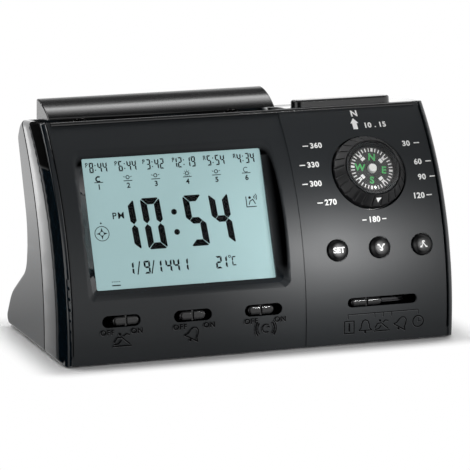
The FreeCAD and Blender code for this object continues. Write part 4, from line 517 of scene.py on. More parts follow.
def hollow_shade_mask_group(name, limits):
    """1 on the walls of hollows in the face that lie within limits, where shade is painted, 0 elsewhere."""
    group, nodes, links, place, result = mask_group(name)
    depths = (("R", FACE_RADIUS - 0.9, FACE_RADIUS - 1.6), ("R", FACE_RADIUS - 11.0, FACE_RADIUS - 10.0))
    links.new(within_limits(nodes, links, place, depths + limits), result)
    return group


def case_finish(colour, smooth, grained):
    """Case plastic: smooth and glossy on the outside, grained and duller on the face, with painted shade
    in the slots, along the case's joint and on the right and upper walls of the display's recess."""
    material = moulded("case_satin", colour, smooth, 3000.0, 0.00002, 0.03)
    nodes, links = material.node_tree.nodes, material.node_tree.links
    shader, bump = nodes["Principled BSDF"], nodes["Bump"]
    place = nodes["Texture Coordinate"].outputs["Object"]

    def masked(tree):
        holder = nodes.new("ShaderNodeGroup")
        holder.node_tree = tree
        links.new(place, holder.inputs["Vector"])
        return holder.outputs["Mask"]

    face = masked(face_mask_group())
    rough = math_node(nodes, links, "MULTIPLY_ADD", face, grained - smooth,
                      nodes["Group"].outputs["Roughness"])
    links.new(range_node(nodes, links, face, 0.0, 1.0, 0.02, 0.45).outputs["Result"],
              bump.inputs["Strength"])
    # Painted shade: near-black colour, full metallic and full roughness along the joint and on the listed
    # hollows' walls.
    dark = masked(joint_shade_mask_group())
    for name, limits in PAINTED_SHADE_HOLLOWS.items():
        dark = math_node(nodes, links, "MAXIMUM", dark, masked(hollow_shade_mask_group(name, limits)))
    painted_shade_colour = nodes.new("ShaderNodeMix")
    painted_shade_colour.data_type = "RGBA"
    painted_shade_colour.inputs["A"].default_value = (*colour, 1.0)
    painted_shade_colour.inputs["B"].default_value = (0.001, 0.001, 0.0012, 1.0)
    links.new(dark, painted_shade_colour.inputs["Factor"])
    links.new(dark, shader.inputs["Metallic"])
    links.new(painted_shade_colour.outputs["Result"], shader.inputs["Base Color"])
    links.new(math_node(nodes, links, "MAXIMUM", rough, dark), shader.inputs["Roughness"])
    return material


def clear_plastic(name, index):
    """Clear plastic that lets lamp light straight through to what lies behind it."""
    material, nodes, links, shader, place = new_finish(name)
    shader.inputs["Transmission Weight"].default_value = 1.0
    shader.inputs["Roughness"].default_value = 0.02
    shader.inputs["IOR"].default_value = index
    through = nodes.new("ShaderNodeBsdfTransparent")
    rays = nodes.new("ShaderNodeLightPath")
    mix = nodes.new("ShaderNodeMixShader")
    output = nodes["Material Output"]
    links.new(rays.outputs["Is Shadow Ray"], mix.inputs["Fac"])
    links.new(shader.outputs["BSDF"], mix.inputs[1])
    links.new(through.outputs["BSDF"], mix.inputs[2])
    links.new(mix.outputs["Shader"], output.inputs["Surface"])
    return material


def display_glass(colour, glow):
    """Liquid crystal glass: pale, slightly uneven over its area; its paleness is mostly painted light, glow
    in the field's colour over a base colour dimmed to a third.
    """
    material, nodes, links, shader, place = new_finish("display_field")
    noise = nodes.new("ShaderNodeTexNoise")
    noise.inputs["Scale"].default_value = 30.0
    ramp = nodes.new("ShaderNodeMix")
    ramp.data_type = "RGBA"
    ramp.inputs["A"].default_value = (*[c * 0.94 for c in colour], 1.0)
    ramp.inputs["B"].default_value = (*colour, 1.0)
    links.new(place, noise.inputs["Vector"])
    links.new(noise.outputs["Fac"], ramp.inputs["Factor"])
    shader.inputs["Base Color"].default_value = (*[c * 0.3 for c in colour], 1.0)
    # Painted light: the field's pale colour is given off as glow instead of being lit by the lamps.
    links.new(ramp.outputs["Result"], shader.inputs["Emission Color"])
    shader.inputs["Emission Strength"].default_value = glow
    shader.inputs["Roughness"].default_value = 0.45
    shader.inputs["Specular IOR Level"].default_value = 0.1
    return material


def print_ink():
    """White printing ink, slightly uneven."""
    found = bpy.data.materials.get("print_ink")
    if found:
        return found
    return moulded("print_ink", bpy.context.scene.clock_finish.ink_colour, 0.5, 1200.0)


def metal(name, colour, roughness):
    """Plated or bare metal with faint uneven roughness."""
    material = moulded(name, colour, roughness, 900.0, 0.00001, 0.12, 0.2)
    material.node_tree.nodes["Principled BSDF"].inputs["Metallic"].default_value = 1.0
    return material


# ---- the studio, as (degrees, brightness): round the clock to the left of front, and over it ----

ROUND_STOPS = ((-180, 1.6), (-150, 1.6), (-55, 1.8), (-36, 1.6), (-6, 1.5), (2, 0.05), (44, 0.01),
               (50, 2.0), (78, 2.0), (84, 0.02), (151, 0.01), (152.5, 0.8), (154, 0.8), (154.8, 0.05),
               (156.2, 0.1), (157.2, 1.3), (160, 1.6), (180, 1.6))
OVER_STOPS = ((-180, 1.6), (-60, 0.8), (0, 1.0), (24, 0.45), (50, 0.45), (70, 0.45), (88, 0.06),
              (104, 0.02), (110, 1.4), (117, 4.5), (123, 8.0), (127, 1.0), (132, 0.15), (158, 0.1),
              (168, 1.2), (180, 2.4))
BRIGHTEST = 8.0


# ---- settings ----

class ClockStageSettings(bpy.types.PropertyGroup):
    camera_turn: FloatProperty(
        name="Camera turn", description="Angle of the camera to the left of the front",
        default=math.radians(19.486), subtype="ANGLE")
    camera_rise: FloatProperty(
        name="Camera rise", description="Angle of the camera above the horizon",
        default=math.radians(11.717), subtype="ANGLE")
    camera_distance: FloatProperty(
        name="Camera distance", description="Distance from the camera to the point it looks at",
        default=1.7582, unit="LENGTH")
    aim: FloatVectorProperty(
        name="Aim", description="Point that the camera looks at",
        default=(-0.01528, -0.051181, 0.061936), subtype="TRANSLATION")
    lens: FloatProperty(
        name="Lens", description="Focal length of the camera in millimetres", default=268.35)
    lamp_place: FloatVectorProperty(
        name="Lamp place", description="Place of the soft lamp at the right front",
        default=(0.336, -0.882, 0.30), subtype="TRANSLATION")
    lamp_aim: FloatVectorProperty(
        name="Lamp aim", description="Point that the soft lamp lights",
        default=(0.038, -0.0486, 0.055), subtype="TRANSLATION")
    lamp_angle: FloatProperty(
        name="Lamp angle", description="Width of the soft lamp's cone",
        default=math.radians(6.3), subtype="ANGLE")
    lamp_power: FloatProperty(
        name="Lamp power", description="Power of the soft lamp in watts", default=42.0)
    shadow_reach: FloatProperty(
        name="Shadow reach", description="Width of the floor's shaded band round the clock",
        default=0.02, unit="LENGTH")
    # Reach of the painted shade that the floor lays on what the clock mirrors.
    mirror_reach: FloatProperty(
        name="Mirror reach", description="Distance at which the floor no longer darkens what is mirrored",
        default=0.33, unit="LENGTH")
    surround: FloatProperty(
        name="Surround", description="Brightness of the studio all round", default=1.0)


class ClockFinishSettings(bpy.types.PropertyGroup):
    case_colour: FloatVectorProperty(
        name="Case", description="Colour of the moulded case",
        size=3, default=(0.0012, 0.0040, 0.0066), subtype="COLOR", min=0, max=1)
    control_colour: FloatVectorProperty(
        name="Controls", description="Colour of the bar, key, ring and slide knobs",
        size=3, default=(0.0035, 0.0035, 0.004), subtype="COLOR", min=0, max=1)
    ink_colour: FloatVectorProperty(
        name="Ink", description="Colour of the printed marks",
        size=3, default=(0.85, 0.85, 0.84), subtype="COLOR", min=0, max=1)
    figure_colour: FloatVectorProperty(
        name="Figures", description="Colour of the display's dark figures",
        size=3, default=(0.002, 0.003, 0.004), subtype="COLOR", min=0, max=1)
    letter_colour: FloatVectorProperty(
        name="Letters", description="Colour of the compass dial's letters",
        size=3, default=(0.05, 0.42, 0.10), subtype="COLOR", min=0, max=1)
    display_colour: FloatVectorProperty(
        name="Display", description="Colour of the display's field",
        size=3, default=(0.43, 0.63, 0.645), subtype="COLOR", min=0, max=1)
    # Painted light: glow that stands in for light falling on the display's field.
    display_painted_glow: FloatProperty(
        name="Display glow", description="Light that the display's field gives off", default=0.82)


# ---- operators ----

class CLOCK_OT_stage(bpy.types.Operator):
    """Floor, surround, lamp and camera."""
    bl_idname = "clock.stage"
    bl_label = "Stage"

    def execute(self, context):
        sizes = context.scene.clock_stage
        self.floor(sizes)
        self.surround(context.scene, sizes)
        self.lamp(context.scene, sizes)
        self.camera(context.scene, sizes)
        context.scene.view_settings.view_transform = "Standard"
        return {"FINISHED"}

    def floor(self, sizes):
        """Wide white floor that fades to plain white away from the clock, for the camera; for mirrored rays
        it is a clear sheet tinted darker near the clock, painted shade in what the clock's surfaces mirror.
        """
        mesh = bpy.data.meshes.new("floor")
        reach = 4.0
        corners = [(-reach, -reach, 0), (reach, -reach, 0), (reach, reach, 0), (-reach, reach, 0)]
        mesh.from_pydata(corners, [], [(0, 1, 2, 3)])
        floor = bpy.data.objects.new("floor", mesh)
        bpy.context.scene.collection.objects.link(floor)
        material, nodes, links, shader, place = new_finish("floor")
        shader.inputs["Base Color"].default_value = (0.9, 0.9, 0.9, 1.0)
        shader.inputs["Roughness"].default_value = 0.5
        white = nodes.new("ShaderNodeEmission")
        low, high = CAD_BOX
        steps = []
        middle = [(a + b) / 2 for a, b in zip(low, high)]
        half = [(b - a) / 2 for a, b in zip(low, high)]
        for operation, value in (("SUBTRACT", middle), ("ABSOLUTE", None), ("SUBTRACT", half),
                                 ("MAXIMUM", (0.0, 0.0, 0.0)), ("MULTIPLY", (1.0, 1.0, 0.0)),
                                 ("LENGTH", None)):
            step = nodes.new("ShaderNodeVectorMath")
            step.operation = operation
            if value is not None:
                step.inputs[1].default_value = value
            links.new(steps[-1].outputs["Vector"] if steps else place, step.inputs[0])
            steps.append(step)
        distance = steps[-1].outputs["Value"]
        far = range_node(nodes, links, distance, 0.0, sizes.shadow_reach)
        far.interpolation_type = "SMOOTHSTEP"
        rays = nodes.new("ShaderNodeLightPath")
        seen = math_node(nodes, links, "MULTIPLY", far.outputs["Result"], rays.outputs["Is Camera Ray"])
        mix = nodes.new("ShaderNodeMixShader")
        links.new(seen, mix.inputs["Fac"])
        links.new(shader.outputs["BSDF"], mix.inputs[1])
        links.new(white.outputs["Emission"], mix.inputs[2])
        through = nodes.new("ShaderNodeBsdfTransparent")
        # Painted shade in reflections: mirrored rays pass through the floor, dimmed to 0.3 at the clock and
        # clear at the mirror reach.
        mirrored_shade = range_node(nodes, links, distance, 0.0, sizes.mirror_reach, 0.3)
        links.new(mirrored_shade.outputs["Result"], through.inputs["Color"])
        mirrored = nodes.new("ShaderNodeMixShader")
        links.new(rays.outputs["Is Glossy Ray"], mirrored.inputs["Fac"])
        links.new(mix.outputs["Shader"], mirrored.inputs[1])
        links.new(through.outputs["BSDF"], mirrored.inputs[2])
        links.new(mirrored.outputs["Shader"], nodes["Material Output"].inputs["Surface"])
        mesh.materials.append(material)

    def surround(self, scene, sizes):
        """Studio all round: cards and lamps by angle round the clock low down, and by angle over
        it high up; plain white for the camera."""
        world = bpy.data.worlds.new("studio")
        scene.world = world
        world.use_nodes = True
        nodes, links = world.node_tree.nodes, world.node_tree.links
        background = nodes["Background"]
        direction = nodes.new("ShaderNodeTexCoord")
        parts = nodes.new("ShaderNodeSeparateXYZ")
        links.new(direction.outputs["Generated"], parts.inputs["Vector"])
        front = math_node(nodes, links, "MULTIPLY", parts.outputs["Y"], -1.0)
        left = math_node(nodes, links, "MULTIPLY", parts.outputs["X"], -1.0)
        rings = []
        for side, stops in ((left, ROUND_STOPS), (parts.outputs["Z"], OVER_STOPS)):
            angle = math_node(nodes, links, "ARCTAN2", side, front)
            share = range_node(nodes, links, angle, -math.pi, math.pi)
            screen = nodes.new("ShaderNodeValToRGB")
            ramp = screen.color_ramp
            for index, (degrees, level) in enumerate(stops):
                at = (degrees + 180) / 360
                stop = ramp.elements[index] if index < 2 else ramp.elements.new(at)
                stop.position = at
                stop.color = (*[level / BRIGHTEST] * 3, 1.0)
            links.new(share.outputs["Result"], screen.inputs["Fac"])
            rings.append(screen)
        height = range_node(nodes, links, parts.outputs["Z"], 0.2, 0.5)
        height.interpolation_type = "SMOOTHSTEP"
        both = nodes.new("ShaderNodeMix")
        both.data_type = "RGBA"
        links.new(height.outputs["Result"], both.inputs["Factor"])
        links.new(rings[0].outputs["Color"], both.inputs["A"])
        links.new(rings[1].outputs["Color"], both.inputs["B"])
        rays = nodes.new("ShaderNodeLightPath")
        plain = math_node(nodes, links, "MAXIMUM", rays.outputs["Is Camera Ray"],
                          rays.outputs["Is Transmission Ray"])
        mix = nodes.new("ShaderNodeMix")
        mix.data_type = "RGBA"
        mix.inputs["B"].default_value = (1.0, 1.0, 1.0, 1.0)
        level = nodes.new("ShaderNodeVectorMath")
        level.operation = "SCALE"
        level.inputs["Scale"].default_value = BRIGHTEST * sizes.surround
        links.new(both.outputs["Result"], level.inputs[0])
        links.new(plain, mix.inputs["Factor"])
        links.new(level.outputs["Vector"], mix.inputs["A"])
        links.new(mix.outputs["Result"], background.inputs["Color"])

    def lamp(self, scene, sizes):
        """Soft lamp at the right front, which shows as the pale patch on the face's right half."""
        data = bpy.data.lights.new("front_lamp", "SPOT")
        data.energy = sizes.lamp_power
        data.spot_size = sizes.lamp_angle
        data.spot_blend = 1.0
        data.shadow_soft_size = 0.04
        lamp = bpy.data.objects.new("front_lamp", data)
        scene.collection.objects.link(lamp)
        place, middle = Vector(sizes.lamp_place), Vector(sizes.lamp_aim)
        lamp.location = place
        lamp.rotation_mode = "QUATERNION"
        lamp.rotation_quaternion = (middle - place).to_track_quat("-Z", "Y")

    def camera(self, scene, sizes):
        """Camera at the left front, a little above the clock."""
        data = bpy.data.cameras.new("camera")
        data.sensor_width = 36.0
        data.lens = sizes.lens
        data.clip_start, data.clip_end = 0.05, 20.0
        camera = bpy.data.objects.new("camera", data)
        scene.collection.objects.link(camera)
        a, e = sizes.camera_turn, sizes.camera_rise
        forward = Vector((math.sin(a) * math.cos(e), math.cos(a) * math.cos(e), -math.sin(e)))
        camera.location = Vector(sizes.aim) - forward * sizes.camera_distance
        camera.rotation_mode = "QUATERNION"
        camera.rotation_quaternion = forward.to_track_quat("-Z", "Y")
        scene.camera = camera


class CLOCK_OT_finishes(bpy.types.Operator):
    """Finish of every carried-over CAD node, by the record's material slot."""
    bl_idname = "clock.finishes"
    bl_label = "Finishes"

    def execute(self, context):
        look = context.scene.clock_finish
        finishes = {
            "case_plastic": case_finish(look.case_colour, 0.05, 0.46),
            "control_plastic": moulded("control_satin", look.control_colour, 0.18, 3200.0, 0.00002,
                                       0.04, 0.1),
            "button_plastic": moulded("button_gloss", look.control_colour, 0.3, 1500.0, 0.00001, 0.04, 0.2,
                                      shine=0.35),
            "clear_plastic": clear_plastic("clear_lens", 1.16),
            "display_glass": display_glass(look.display_colour, look.display_painted_glow),
            "white_plastic": moulded("white_moulding", (0.75, 0.75, 0.73), 0.4),
            "dial_plastic": moulded("dial_black", (0.01, 0.01, 0.011), 0.5, 4000.0),
            "inner_plastic": moulded("inner_moulding", (0.05, 0.05, 0.055), 0.5),
            "circuit_board": moulded("board_green", (0.02, 0.11, 0.05), 0.35, 700.0),
            "resin": moulded("resin_black", (0.01, 0.01, 0.01), 0.2, 200.0),
            "rubber_black": moulded("foot_rubber", (0.018, 0.018, 0.018), 0.75, 1800.0),
            "steel": metal("plated_steel", (0.62, 0.61, 0.6), 0.28),
            "cell_jacket": moulded("cell_jacket", (0.05, 0.05, 0.055), 0.3),
            "speaker_paper": moulded("cone_paper", (0.03, 0.03, 0.03), 0.8, 900.0),
            "wire_red": moulded("wire_red", (0.45, 0.02, 0.02), 0.4),
            "wire_black": moulded("wire_black", (0.012, 0.012, 0.012), 0.4),
        }
        special = {"compass_dome": clear_plastic("clear_dome", 1.34),
                   "compass_ring": moulded("ring_satin", [c * 2 for c in look.control_colour], 0.38,
                                           2000.0, 0.00002, 0.05, 0.2)}
        for name, node in frame["nodes"].items():
            for holder in node.material_slots:
                slot = holder.material.name.split(".")[0]
                if slot not in finishes:
                    raise RuntimeError("no finish for material slot " + slot)
                holder.material = special.get(name, finishes[slot])
        return {"FINISHED"}


class CLOCK_OT_shells(bpy.types.Operator):
    """Outer solids with smooth rounded edges, each in place of its faceted CAD node."""
    bl_idname = "clock.shells"
    bl_label = "Smooth shells"

    def execute(self, context):
        bodies = {node: body for body, nodes in frame["record"]["behaviour"]["bodies"].items()
                  for node in nodes}
        for name in SMOOTH_NODES:
            source = frame["nodes"][name]
            mesh = source.data.copy()
            merged = bmesh.new()
            merged.from_mesh(mesh)
            bmesh.ops.remove_doubles(merged, verts=merged.verts, dist=1e-6)
            merged.to_mesh(mesh)
            merged.free()
            mesh.shade_smooth()
            mesh.set_sharp_from_angle(angle=math.radians(29))
            shell = bpy.data.objects.new(name + "_shell", mesh)
            context.scene.collection.objects.link(shell)
            weights = shell.modifiers.new("weights", "WEIGHTED_NORMAL")
            weights.keep_sharp = True
            graph = context.evaluated_depsgraph_get()
            made = bpy.data.meshes.new_from_object(shell.evaluated_get(graph))
            shell.modifiers.remove(weights)
            if name == "front_case":
                self.round_face(made)
            shell.data = made
            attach(shell, bodies[name])
            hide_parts(name)
        return {"FINISHED"}

    def round_face(self, mesh):
        """Exact normals of the face's drum on the facets that lie on it."""
        axis = Vector((0.0, FACE_CENTRE.x, FACE_CENTRE.y)) * MM
        normals = [corner.vector.copy() for corner in mesh.corner_normals]
        for polygon in mesh.polygons:
            outward = []
            for index in polygon.vertices:
                away = mesh.vertices[index].co - axis
                away.x = 0.0
                outward.append(away)
            depth = FACE_RADIUS * MM - min(away.length for away in outward)
            if depth < 0.00056 and polygon.normal.dot(outward[0].normalized()) > 0.985:
                for corner, away in zip(polygon.loop_indices, outward):
                    normals[corner] = away.normalized()
        mesh.normals_split_custom_set(normals)


class CLOCK_OT_lip(bpy.types.Operator):
    """Rounded lip along the face's upper edge, under the press bar and beside the key."""
    bl_idname = "clock.lip"
    bl_label = "Upper lip"

    def execute(self, context):
        mesh = bmesh.new()
        steps = 16
        out = (Vector(FACE_HEAD) - FACE_CENTRE).normalized()
        along = Vector((-out.y, out.x)) * (1 if out.x > 0 else -1)
        middle = Vector(FACE_HEAD) - along * 1.0 - out * 0.35
        turns = [math.pi * i / steps for i in range(steps + 1)]
        profile = [middle + along * 1.15 * math.cos(a) + out * 0.85 * math.sin(a) for a in turns]
        loops = [[mesh.verts.new(Vector((x, y, z)) * MM) for y, z in profile] for x in LIP_ENDS]
        count = len(profile)
        for k in range(count):
            m = (k + 1) % count
            mesh.faces.new((loops[0][k], loops[0][m], loops[1][m], loops[1][k]))
        mesh.faces.new(list(reversed(loops[0])))
        mesh.faces.new(loops[1])
        bmesh.ops.recalc_face_normals(mesh, faces=mesh.faces)
        data = bpy.data.meshes.new("upper_lip")
        mesh.to_mesh(data)
        mesh.free()
        data.shade_smooth()
        data.set_sharp_from_angle(angle=math.radians(38))
        data.materials.append(bpy.data.materials["control_satin"])
        lip = bpy.data.objects.new("upper_lip", data)
        context.scene.collection.objects.link(lip)
        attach(lip, "case")
        return {"FINISHED"}


class CLOCK_OT_display(bpy.types.Operator):
    """Dark figures and pictograms of the display."""
    bl_idname = "clock.display"
    bl_label = "Display figures"

    def execute(self, context):
        marks = Marks(in_frame(window_frame(), GLASS_TOP), 0.1)
        self.clock(marks)
        self.date(marks)
        self.times(marks)
        self.pictures(marks)
        ink = moulded("display_ink", context.scene.clock_finish.figure_colour, 0.5, 500.0, shine=0.02)
        marks.finish("display_figures", ink, "case", "display_glass")
        return {"FINISHED"}

    def clock(self, marks):
        """Large hours and minutes with their colon, and the half of the day."""
        lean = math.radians(3.7)
        for sign, u in (("1", -31.1), ("0", -17.3), ("5", 5.2), ("4", 19.0)):
            figure(marks, sign, u, -14.3, 10.2, 26.3, 3.3, 0.14, 1.2, lean)
        marks.dot(-1.7, 4.0, 1.5)
        marks.dot(-1.4, -6.4, 1.5)
        marks.words("PM", -31.2, 2.4, 3.2, 0.05, 0.2)

    def date(self, marks):
        """Date in figures and the temperature."""
        for sign, u in (("1", -29.6), ("9", -21.0), ("1", -14.9), ("4", -9.6), ("4", -5.5), ("1", -0.9)):
            figure(marks, sign, u, -26.5, 3.3, 6.6, 0.92, 0.1, 0.3)
        for low, high in ((-24.6, -23.0), (-17.2, -15.4)):
            marks.stroke([(low, -26.6), (high, -19.9)], 0.6)
        for sign, u in (("2", 17.1), ("1", 19.9)):
            figure(marks, sign, u, -26.6, 3.3, 6.4, 0.92, 0.1, 0.3)
        marks.ring(24.7, -20.8, 0.55, 0.35, 16)
        figure(marks, "C", 25.8, -25.6, 2.4, 4.8, 0.6, 0.08, 0.3)

    def times(self, marks):
        """Six small times in a row, each with a numbered sun mark under it."""
        rows = (("P", "8", "44", -34.1), ("P", "6", "44", -18.7), ("P", "3", "42", -4.0),
                ("P", "12", "19", 12.8), ("A", "5", "54", 28.4), ("A", "4", "34", 44.5))
        for index, (half, hours, minutes, right) in enumerate(rows):
            start = right - 9.3
            left = start - 0.4 - (1.0 if len(hours) > 1 else 0.0)
            figure(marks, half, left - 1.5, 29.3, 1.25, 2.5, 0.42, 0.04, 0.1)
            for place, sign in enumerate(hours):
                shift = start if place == len(hours) - 1 else start - 2.6
                figure(marks, sign, shift, 26.5, 2.2, 5.3, 0.66, 0.07, 0.2)
            for v in (27.9, 30.3):
                marks.dot(start + 3.2, v, 0.32, 10)
            for place, sign in enumerate(minutes):
                figure(marks, sign, start + 4.4 + 2.75 * place, 26.5, 2.2, 5.3, 0.66, 0.07, 0.2)
            middle = start + 4.1
            self.sun(marks, middle, 23.2, index)
            marks.words(str(index + 1), middle, 17.9, 2.5, 0.1)

    def sun(self, marks, u, v, index):
        """Sun mark of one of the six times: dark, low, sinking, high, rising or faint."""
        if index in (0, 5):
            marks.ring(u, v, 1.25, 0.75 if index == 0 else 0.35, 24, math.radians(50), math.radians(260))
        else:
            marks.ring(u, v + 0.1, 0.85, 0.4, 20)
        marks.stroke([(u - 2.3, v - 1.7), (u + 2.3, v - 1.7)], 0.38)
        if index == 3:
            for step in range(8):
                c, s = math.cos(step * math.pi / 4), math.sin(step * math.pi / 4)
                marks.stroke([(u + 1.35 * c, v + 0.1 + 1.35 * s), (u + 1.8 * c, v + 0.1 + 1.8 * s)], 0.3)
        elif index in (1, 2, 4):
            for side in (-1, 1):
                marks.stroke([(u + side * 1.4, v + 0.2), (u + side * 2.2, v + 0.5)], 0.32)

    def pictures(self, marks):
        """Small compass rose, sound figure and day dots at the display's edges."""
        marks.ring(-40.8, -4.6, 3.7, 0.34, 36)
        marks.ring(-40.8, -4.6, 1.15, 0.3, 20)
        marks.dot(-40.8, 0.7, 0.45, 12)
        for step in range(4):
            angle = step * math.pi / 2
            c, s = math.cos(angle), math.sin(angle)
            marks.area([(-40.8 + 3.0 * c, -4.6 + 3.0 * s),
                        (-40.8 + 1.2 * c - 0.55 * s, -4.6 + 1.2 * s + 0.55 * c),
                        (-40.8 + 1.2 * c + 0.55 * s, -4.6 + 1.2 * s - 0.55 * c)])
        marks.stroke([(37.4, 9.3), (37.4, 3.9), (42.6, 3.9)], 0.45)
        marks.stroke([(38.7, 4.9), (39.5, 6.9), (41.0, 7.6), (42.2, 5.2)], 0.45)
        marks.dot(39.4, 8.6, 0.7, 14)
        sound_waves(marks, 40.7, 8.8, 0.9, 0.34, (1,), 3, 0.8)
        for step in range(5):
            marks.dot(-38.4 + step * 0.95, -29.4, 0.26, 10)
        marks.stroke([(-38.7, -31.3), (-34.3, -31.3)], 0.55)


class CLOCK_OT_face_print(bpy.types.Operator):
    """White print round the compass: an arrow, a letter and plain degree numbers."""
    bl_idname = "clock.face_print"
    bl_label = "Face print"

    def execute(self, context):
        marks = Marks(bent_on_face(0.0, 0.0, 0.02), 0.08)
        marks.words("N", 63.9, 120.9, 3.4, 0.16)
        marks.area([(61.4, 113.0), (63.9, 113.0), (63.9, 116.6), (64.9, 116.6), (62.6, 119.6),
                    (60.5, 116.6), (61.4, 116.6)])
        for text, x, arc in (("10 . 15", 73.6, 113.6), ("360", 38.7, 103.6), ("330", 34.9, 93.0),
                             ("300", 34.4, 82.7), ("270", 40.9, 72.4), ("30", 88.0, 101.6),
                             ("60", 92.2, 91.0), ("90", 92.9, 82.6), ("120", 89.4, 72.8),
                             ("180", 63.3, 62.0)):
            marks.words(text, x, arc, 2.8, 0.13, 0.08)
        for x, arc, side in ((38.7, 103.6, -1), (34.9, 93.0, -1), (34.4, 82.7, -1), (40.9, 72.4, -1),
                             (88.0, 101.6, 1), (92.2, 91.0, 1), (92.9, 82.6, 1), (89.4, 72.8, 1)):
            start = x + side * 4.3
            marks.stroke([(start, arc + 1.35), (start + side * 3.0, arc + 1.35)], 0.55)
        for side in (-1, 1):
            marks.stroke([(63.3 + side * 4.3, 63.35), (63.3 + side * 6.6, 63.35)], 0.55)
        marks.finish("face_print", print_ink(), "case", "white_plastic")
        return {"FINISHED"}


class CLOCK_OT_button_marks(bpy.types.Operator):
    """White marks on the three press buttons."""
    bl_idname = "clock.button_marks"
    bl_label = "Button marks"

    def execute(self, context):
        for body, x in BUTTON_X.items():
            marks = Marks(on_button(x), 0.06)
            if body == "set_button":
                marks.words("SET", 0.0, -1.35, 2.7, 0.12)
            else:
                way = 1 if body == "up_button" else -1
                outline = [(-2.2, -1.7), (-1.05, -1.7), (0.0, 0.3), (1.05, -1.7), (2.2, -1.7), (0.55, 1.9),
                           (-0.55, 1.9)]
                marks.area([(u, way * v) for u, v in outline])
            marks.finish(body + "_mark", print_ink(), body, "white_plastic")
        return {"FINISHED"}


class CLOCK_OT_cut_marks(bpy.types.Operator):
    """Sunk words and pictograms under the slide switches, in painted shade, each with a painted highlight
    on its lower edge from a lighter copy set just below it.
    """
    bl_idname = "clock.cut_marks"
    bl_label = "Cut marks"

    def execute(self, context):
        # Painted shade: the sunk strokes are near black and barely reflect, standing in for the shade
        # inside them.
        dark = moulded("cut_marks", (0.0012, 0.0012, 0.0016), 0.5, 2600.0, shine=0.05)
        # Painted highlight: a lighter copy set a little down and to the left under each stroke.
        lit = moulded("cut_edges_painted_highlight", (0.06, 0.063, 0.067), 0.35, 2600.0)
        for name, slide, lift, height, finish in (("cut_marks", (0.0, 0.0), 0.03, 0.06, dark),
                                                  ("cut_marks_edges", (-0.14, -0.2), 0.01, 0.04, lit)):
            marks = Marks(bent_on_face(slide[0], slide[1], lift), height)
            self.switches(marks)
            self.mode(marks)
            marks.finish(name, finish, "case", "case_plastic")
        return {"FINISHED"}

    def switches(self, marks):
        """Off and on at each short slot's ends, with a pictogram between them."""
        for name, (off, on, middle) in SWITCH_MARKS.items():
            marks.words("OFF", off, SWITCH_WORDS_ARC, 2.5, 0.12, 0.2)
            marks.words("ON", on, SWITCH_WORDS_ARC, 2.5, 0.12, 0.2)
            if name == "prayer":
                seated_figure(marks, middle, 12.2, 7.4, 0.6)
            elif name == "alarm":
                bell(marks, middle, 12.2, 7.6, 0.6, math.radians(-28))
            else:
                sound_waves(marks, middle, 11.9, 4.4, 0.55, (-1, 1), 2, 1.2)
                marks.ring(middle + 0.3, 11.9, 2.1, 0.6, 24, math.radians(55), math.radians(250))
                marks.dot(middle + 1.6, 12.6, 0.5, 8)

    def mode(self, marks):
        """Bracket with five legs and the five places' pictograms."""
        left, right, arc = MODE_LINE
        marks.stroke([(left, arc), (right, arc)], 0.36)
        for index in range(5):
            x = left + (right - left) * index / 4
            inner = left + 19.3 + (index - 2) * 4.6
            end = x if index in (0, 4) else inner
            marks.stroke([(end, arc + 0.1), (end, arc - 2.2)], 0.36)
        boxed, first, figure_x, second, clock = MODE_ICONS
        box_outline(marks, boxed - 2.6, boxed + 2.6, 5.6, 11.9, 0.55)
        marks.words("1", boxed, 6.7, 4.0, 0.2)
        bell(marks, first, 8.9, 7.0, 0.55)
        seated_figure(marks, figure_x, 8.8, 6.6, 0.55)
        bell(marks, second, 9.1, 7.2, 0.55, math.radians(-30))
        marks.ring(clock, 9.2, 2.9, 0.55, 28)
        marks.stroke([(clock, 11.2), (clock, 9.2), (clock + 1.5, 9.2)], 0.38)


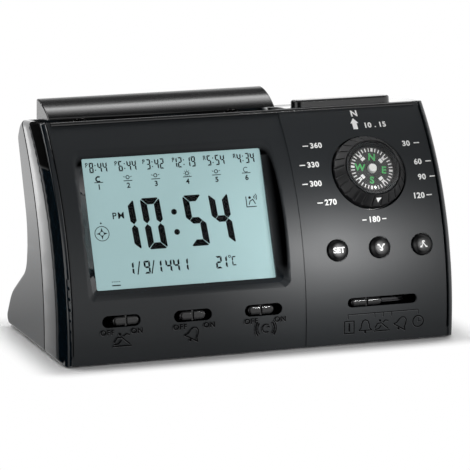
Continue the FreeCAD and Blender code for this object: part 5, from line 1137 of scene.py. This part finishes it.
class CLOCK_OT_compass_print(bpy.types.Operator):
    """Ticks, letters and paired blocks on the compass dial, and the pointer on its ring."""
    bl_idname = "clock.compass_print"
    bl_label = "Compass print"

    def execute(self, context):
        matrix = face_frame(*COMPASS_PLACE) @ Matrix.Rotation(DIAL_TURN, 4, "Z")
        white = Marks(in_frame(matrix, DIAL_TOP + 0.01), 0.05)
        for step in range(36):
            angle = step * math.pi / 18
            wide = step % 9 == 0
            self.block(white, angle, 9.2, 11.1, 1.1 if wide else 0.5)
        for step in range(4):
            angle = math.pi / 4 + step * math.pi / 2
            for inner, outer, half in ((5.9, 7.5, 2.3), (7.9, 9.3, 2.0)):
                for side in (-1, 1):
                    self.block(white, angle, inner, outer, half - 1.2, side * half / 4)
        white.finish("compass_ticks", print_ink(), "compass_card", "white_plastic")
        green = Marks(in_frame(matrix, DIAL_TOP + 0.01), 0.05)
        for text, u, v in (("N", 0.0, 6.2), ("E", 6.4, 0.0), ("S", 0.0, -6.2), ("W", -6.3, 0.0)):
            green.words(text, u, v - 1.7, 3.5, 0.16)
        ink = moulded("green_print", context.scene.clock_finish.letter_colour, 0.5, 900.0)
        green.finish("compass_letters", ink, "compass_card", "white_plastic")
        pointer = Marks(on_ring(math.radians(-88)), 0.06)
        pointer.area([(-1.5, 1.5), (0.0, -1.6), (1.5, 1.5)])
        pointer.finish("ring_pointer", print_ink(), "compass_ring", "white_plastic")
        return {"FINISHED"}

    def block(self, marks, angle, inner, outer, width, shift=0.0):
        """Radial block on the dial, moved sideways by a shift."""
        c, s = math.cos(angle), math.sin(angle)
        corners = ((inner, -width / 2), (outer, -width / 2), (outer, width / 2), (inner, width / 2))
        marks.area([(r * c - (t + shift) * s, r * s + (t + shift) * c) for r, t in corners])


class CLOCK_PT_panel(bpy.types.Panel):
    """Buttons for each part of the clock's looks."""
    bl_idname = "CLOCK_PT_panel"
    bl_label = "Clock"
    bl_space_type = "VIEW_3D"
    bl_region_type = "UI"
    bl_category = "Clock"

    def draw(self, context):
        for operator in OPERATORS:
            self.layout.operator(operator.bl_idname)
        for settings in (context.scene.clock_stage, context.scene.clock_finish):
            for name in settings.bl_rna.properties.keys():
                if name not in ("rna_type", "name"):
                    self.layout.prop(settings, name)


OPERATORS = (CLOCK_OT_stage, CLOCK_OT_finishes, CLOCK_OT_shells, CLOCK_OT_lip, CLOCK_OT_display,
             CLOCK_OT_face_print, CLOCK_OT_button_marks, CLOCK_OT_cut_marks, CLOCK_OT_compass_print)
SETTINGS = (ClockStageSettings, ClockFinishSettings)


def register():
    for made in SETTINGS + OPERATORS + (CLOCK_PT_panel,):
        bpy.utils.register_class(made)
    bpy.types.Scene.clock_stage = PointerProperty(type=ClockStageSettings)
    bpy.types.Scene.clock_finish = PointerProperty(type=ClockFinishSettings)


def unregister():
    del bpy.types.Scene.clock_finish
    del bpy.types.Scene.clock_stage
    for made in reversed(SETTINGS + OPERATORS + (CLOCK_PT_panel,)):
        bpy.utils.unregister_class(made)


def write_sizes():
    """Imports json and does nothing more."""
    import json


def main():
    register()
    bpy.ops.clock.stage()
    bpy.ops.clock.finishes()
    bpy.ops.clock.shells()
    bpy.ops.clock.lip()
    bpy.ops.clock.display()
    bpy.ops.clock.face_print()
    bpy.ops.clock.button_marks()
    bpy.ops.clock.cut_marks()
    bpy.ops.clock.compass_print()
    write_sizes()


if __name__ == "__main__":
    main()
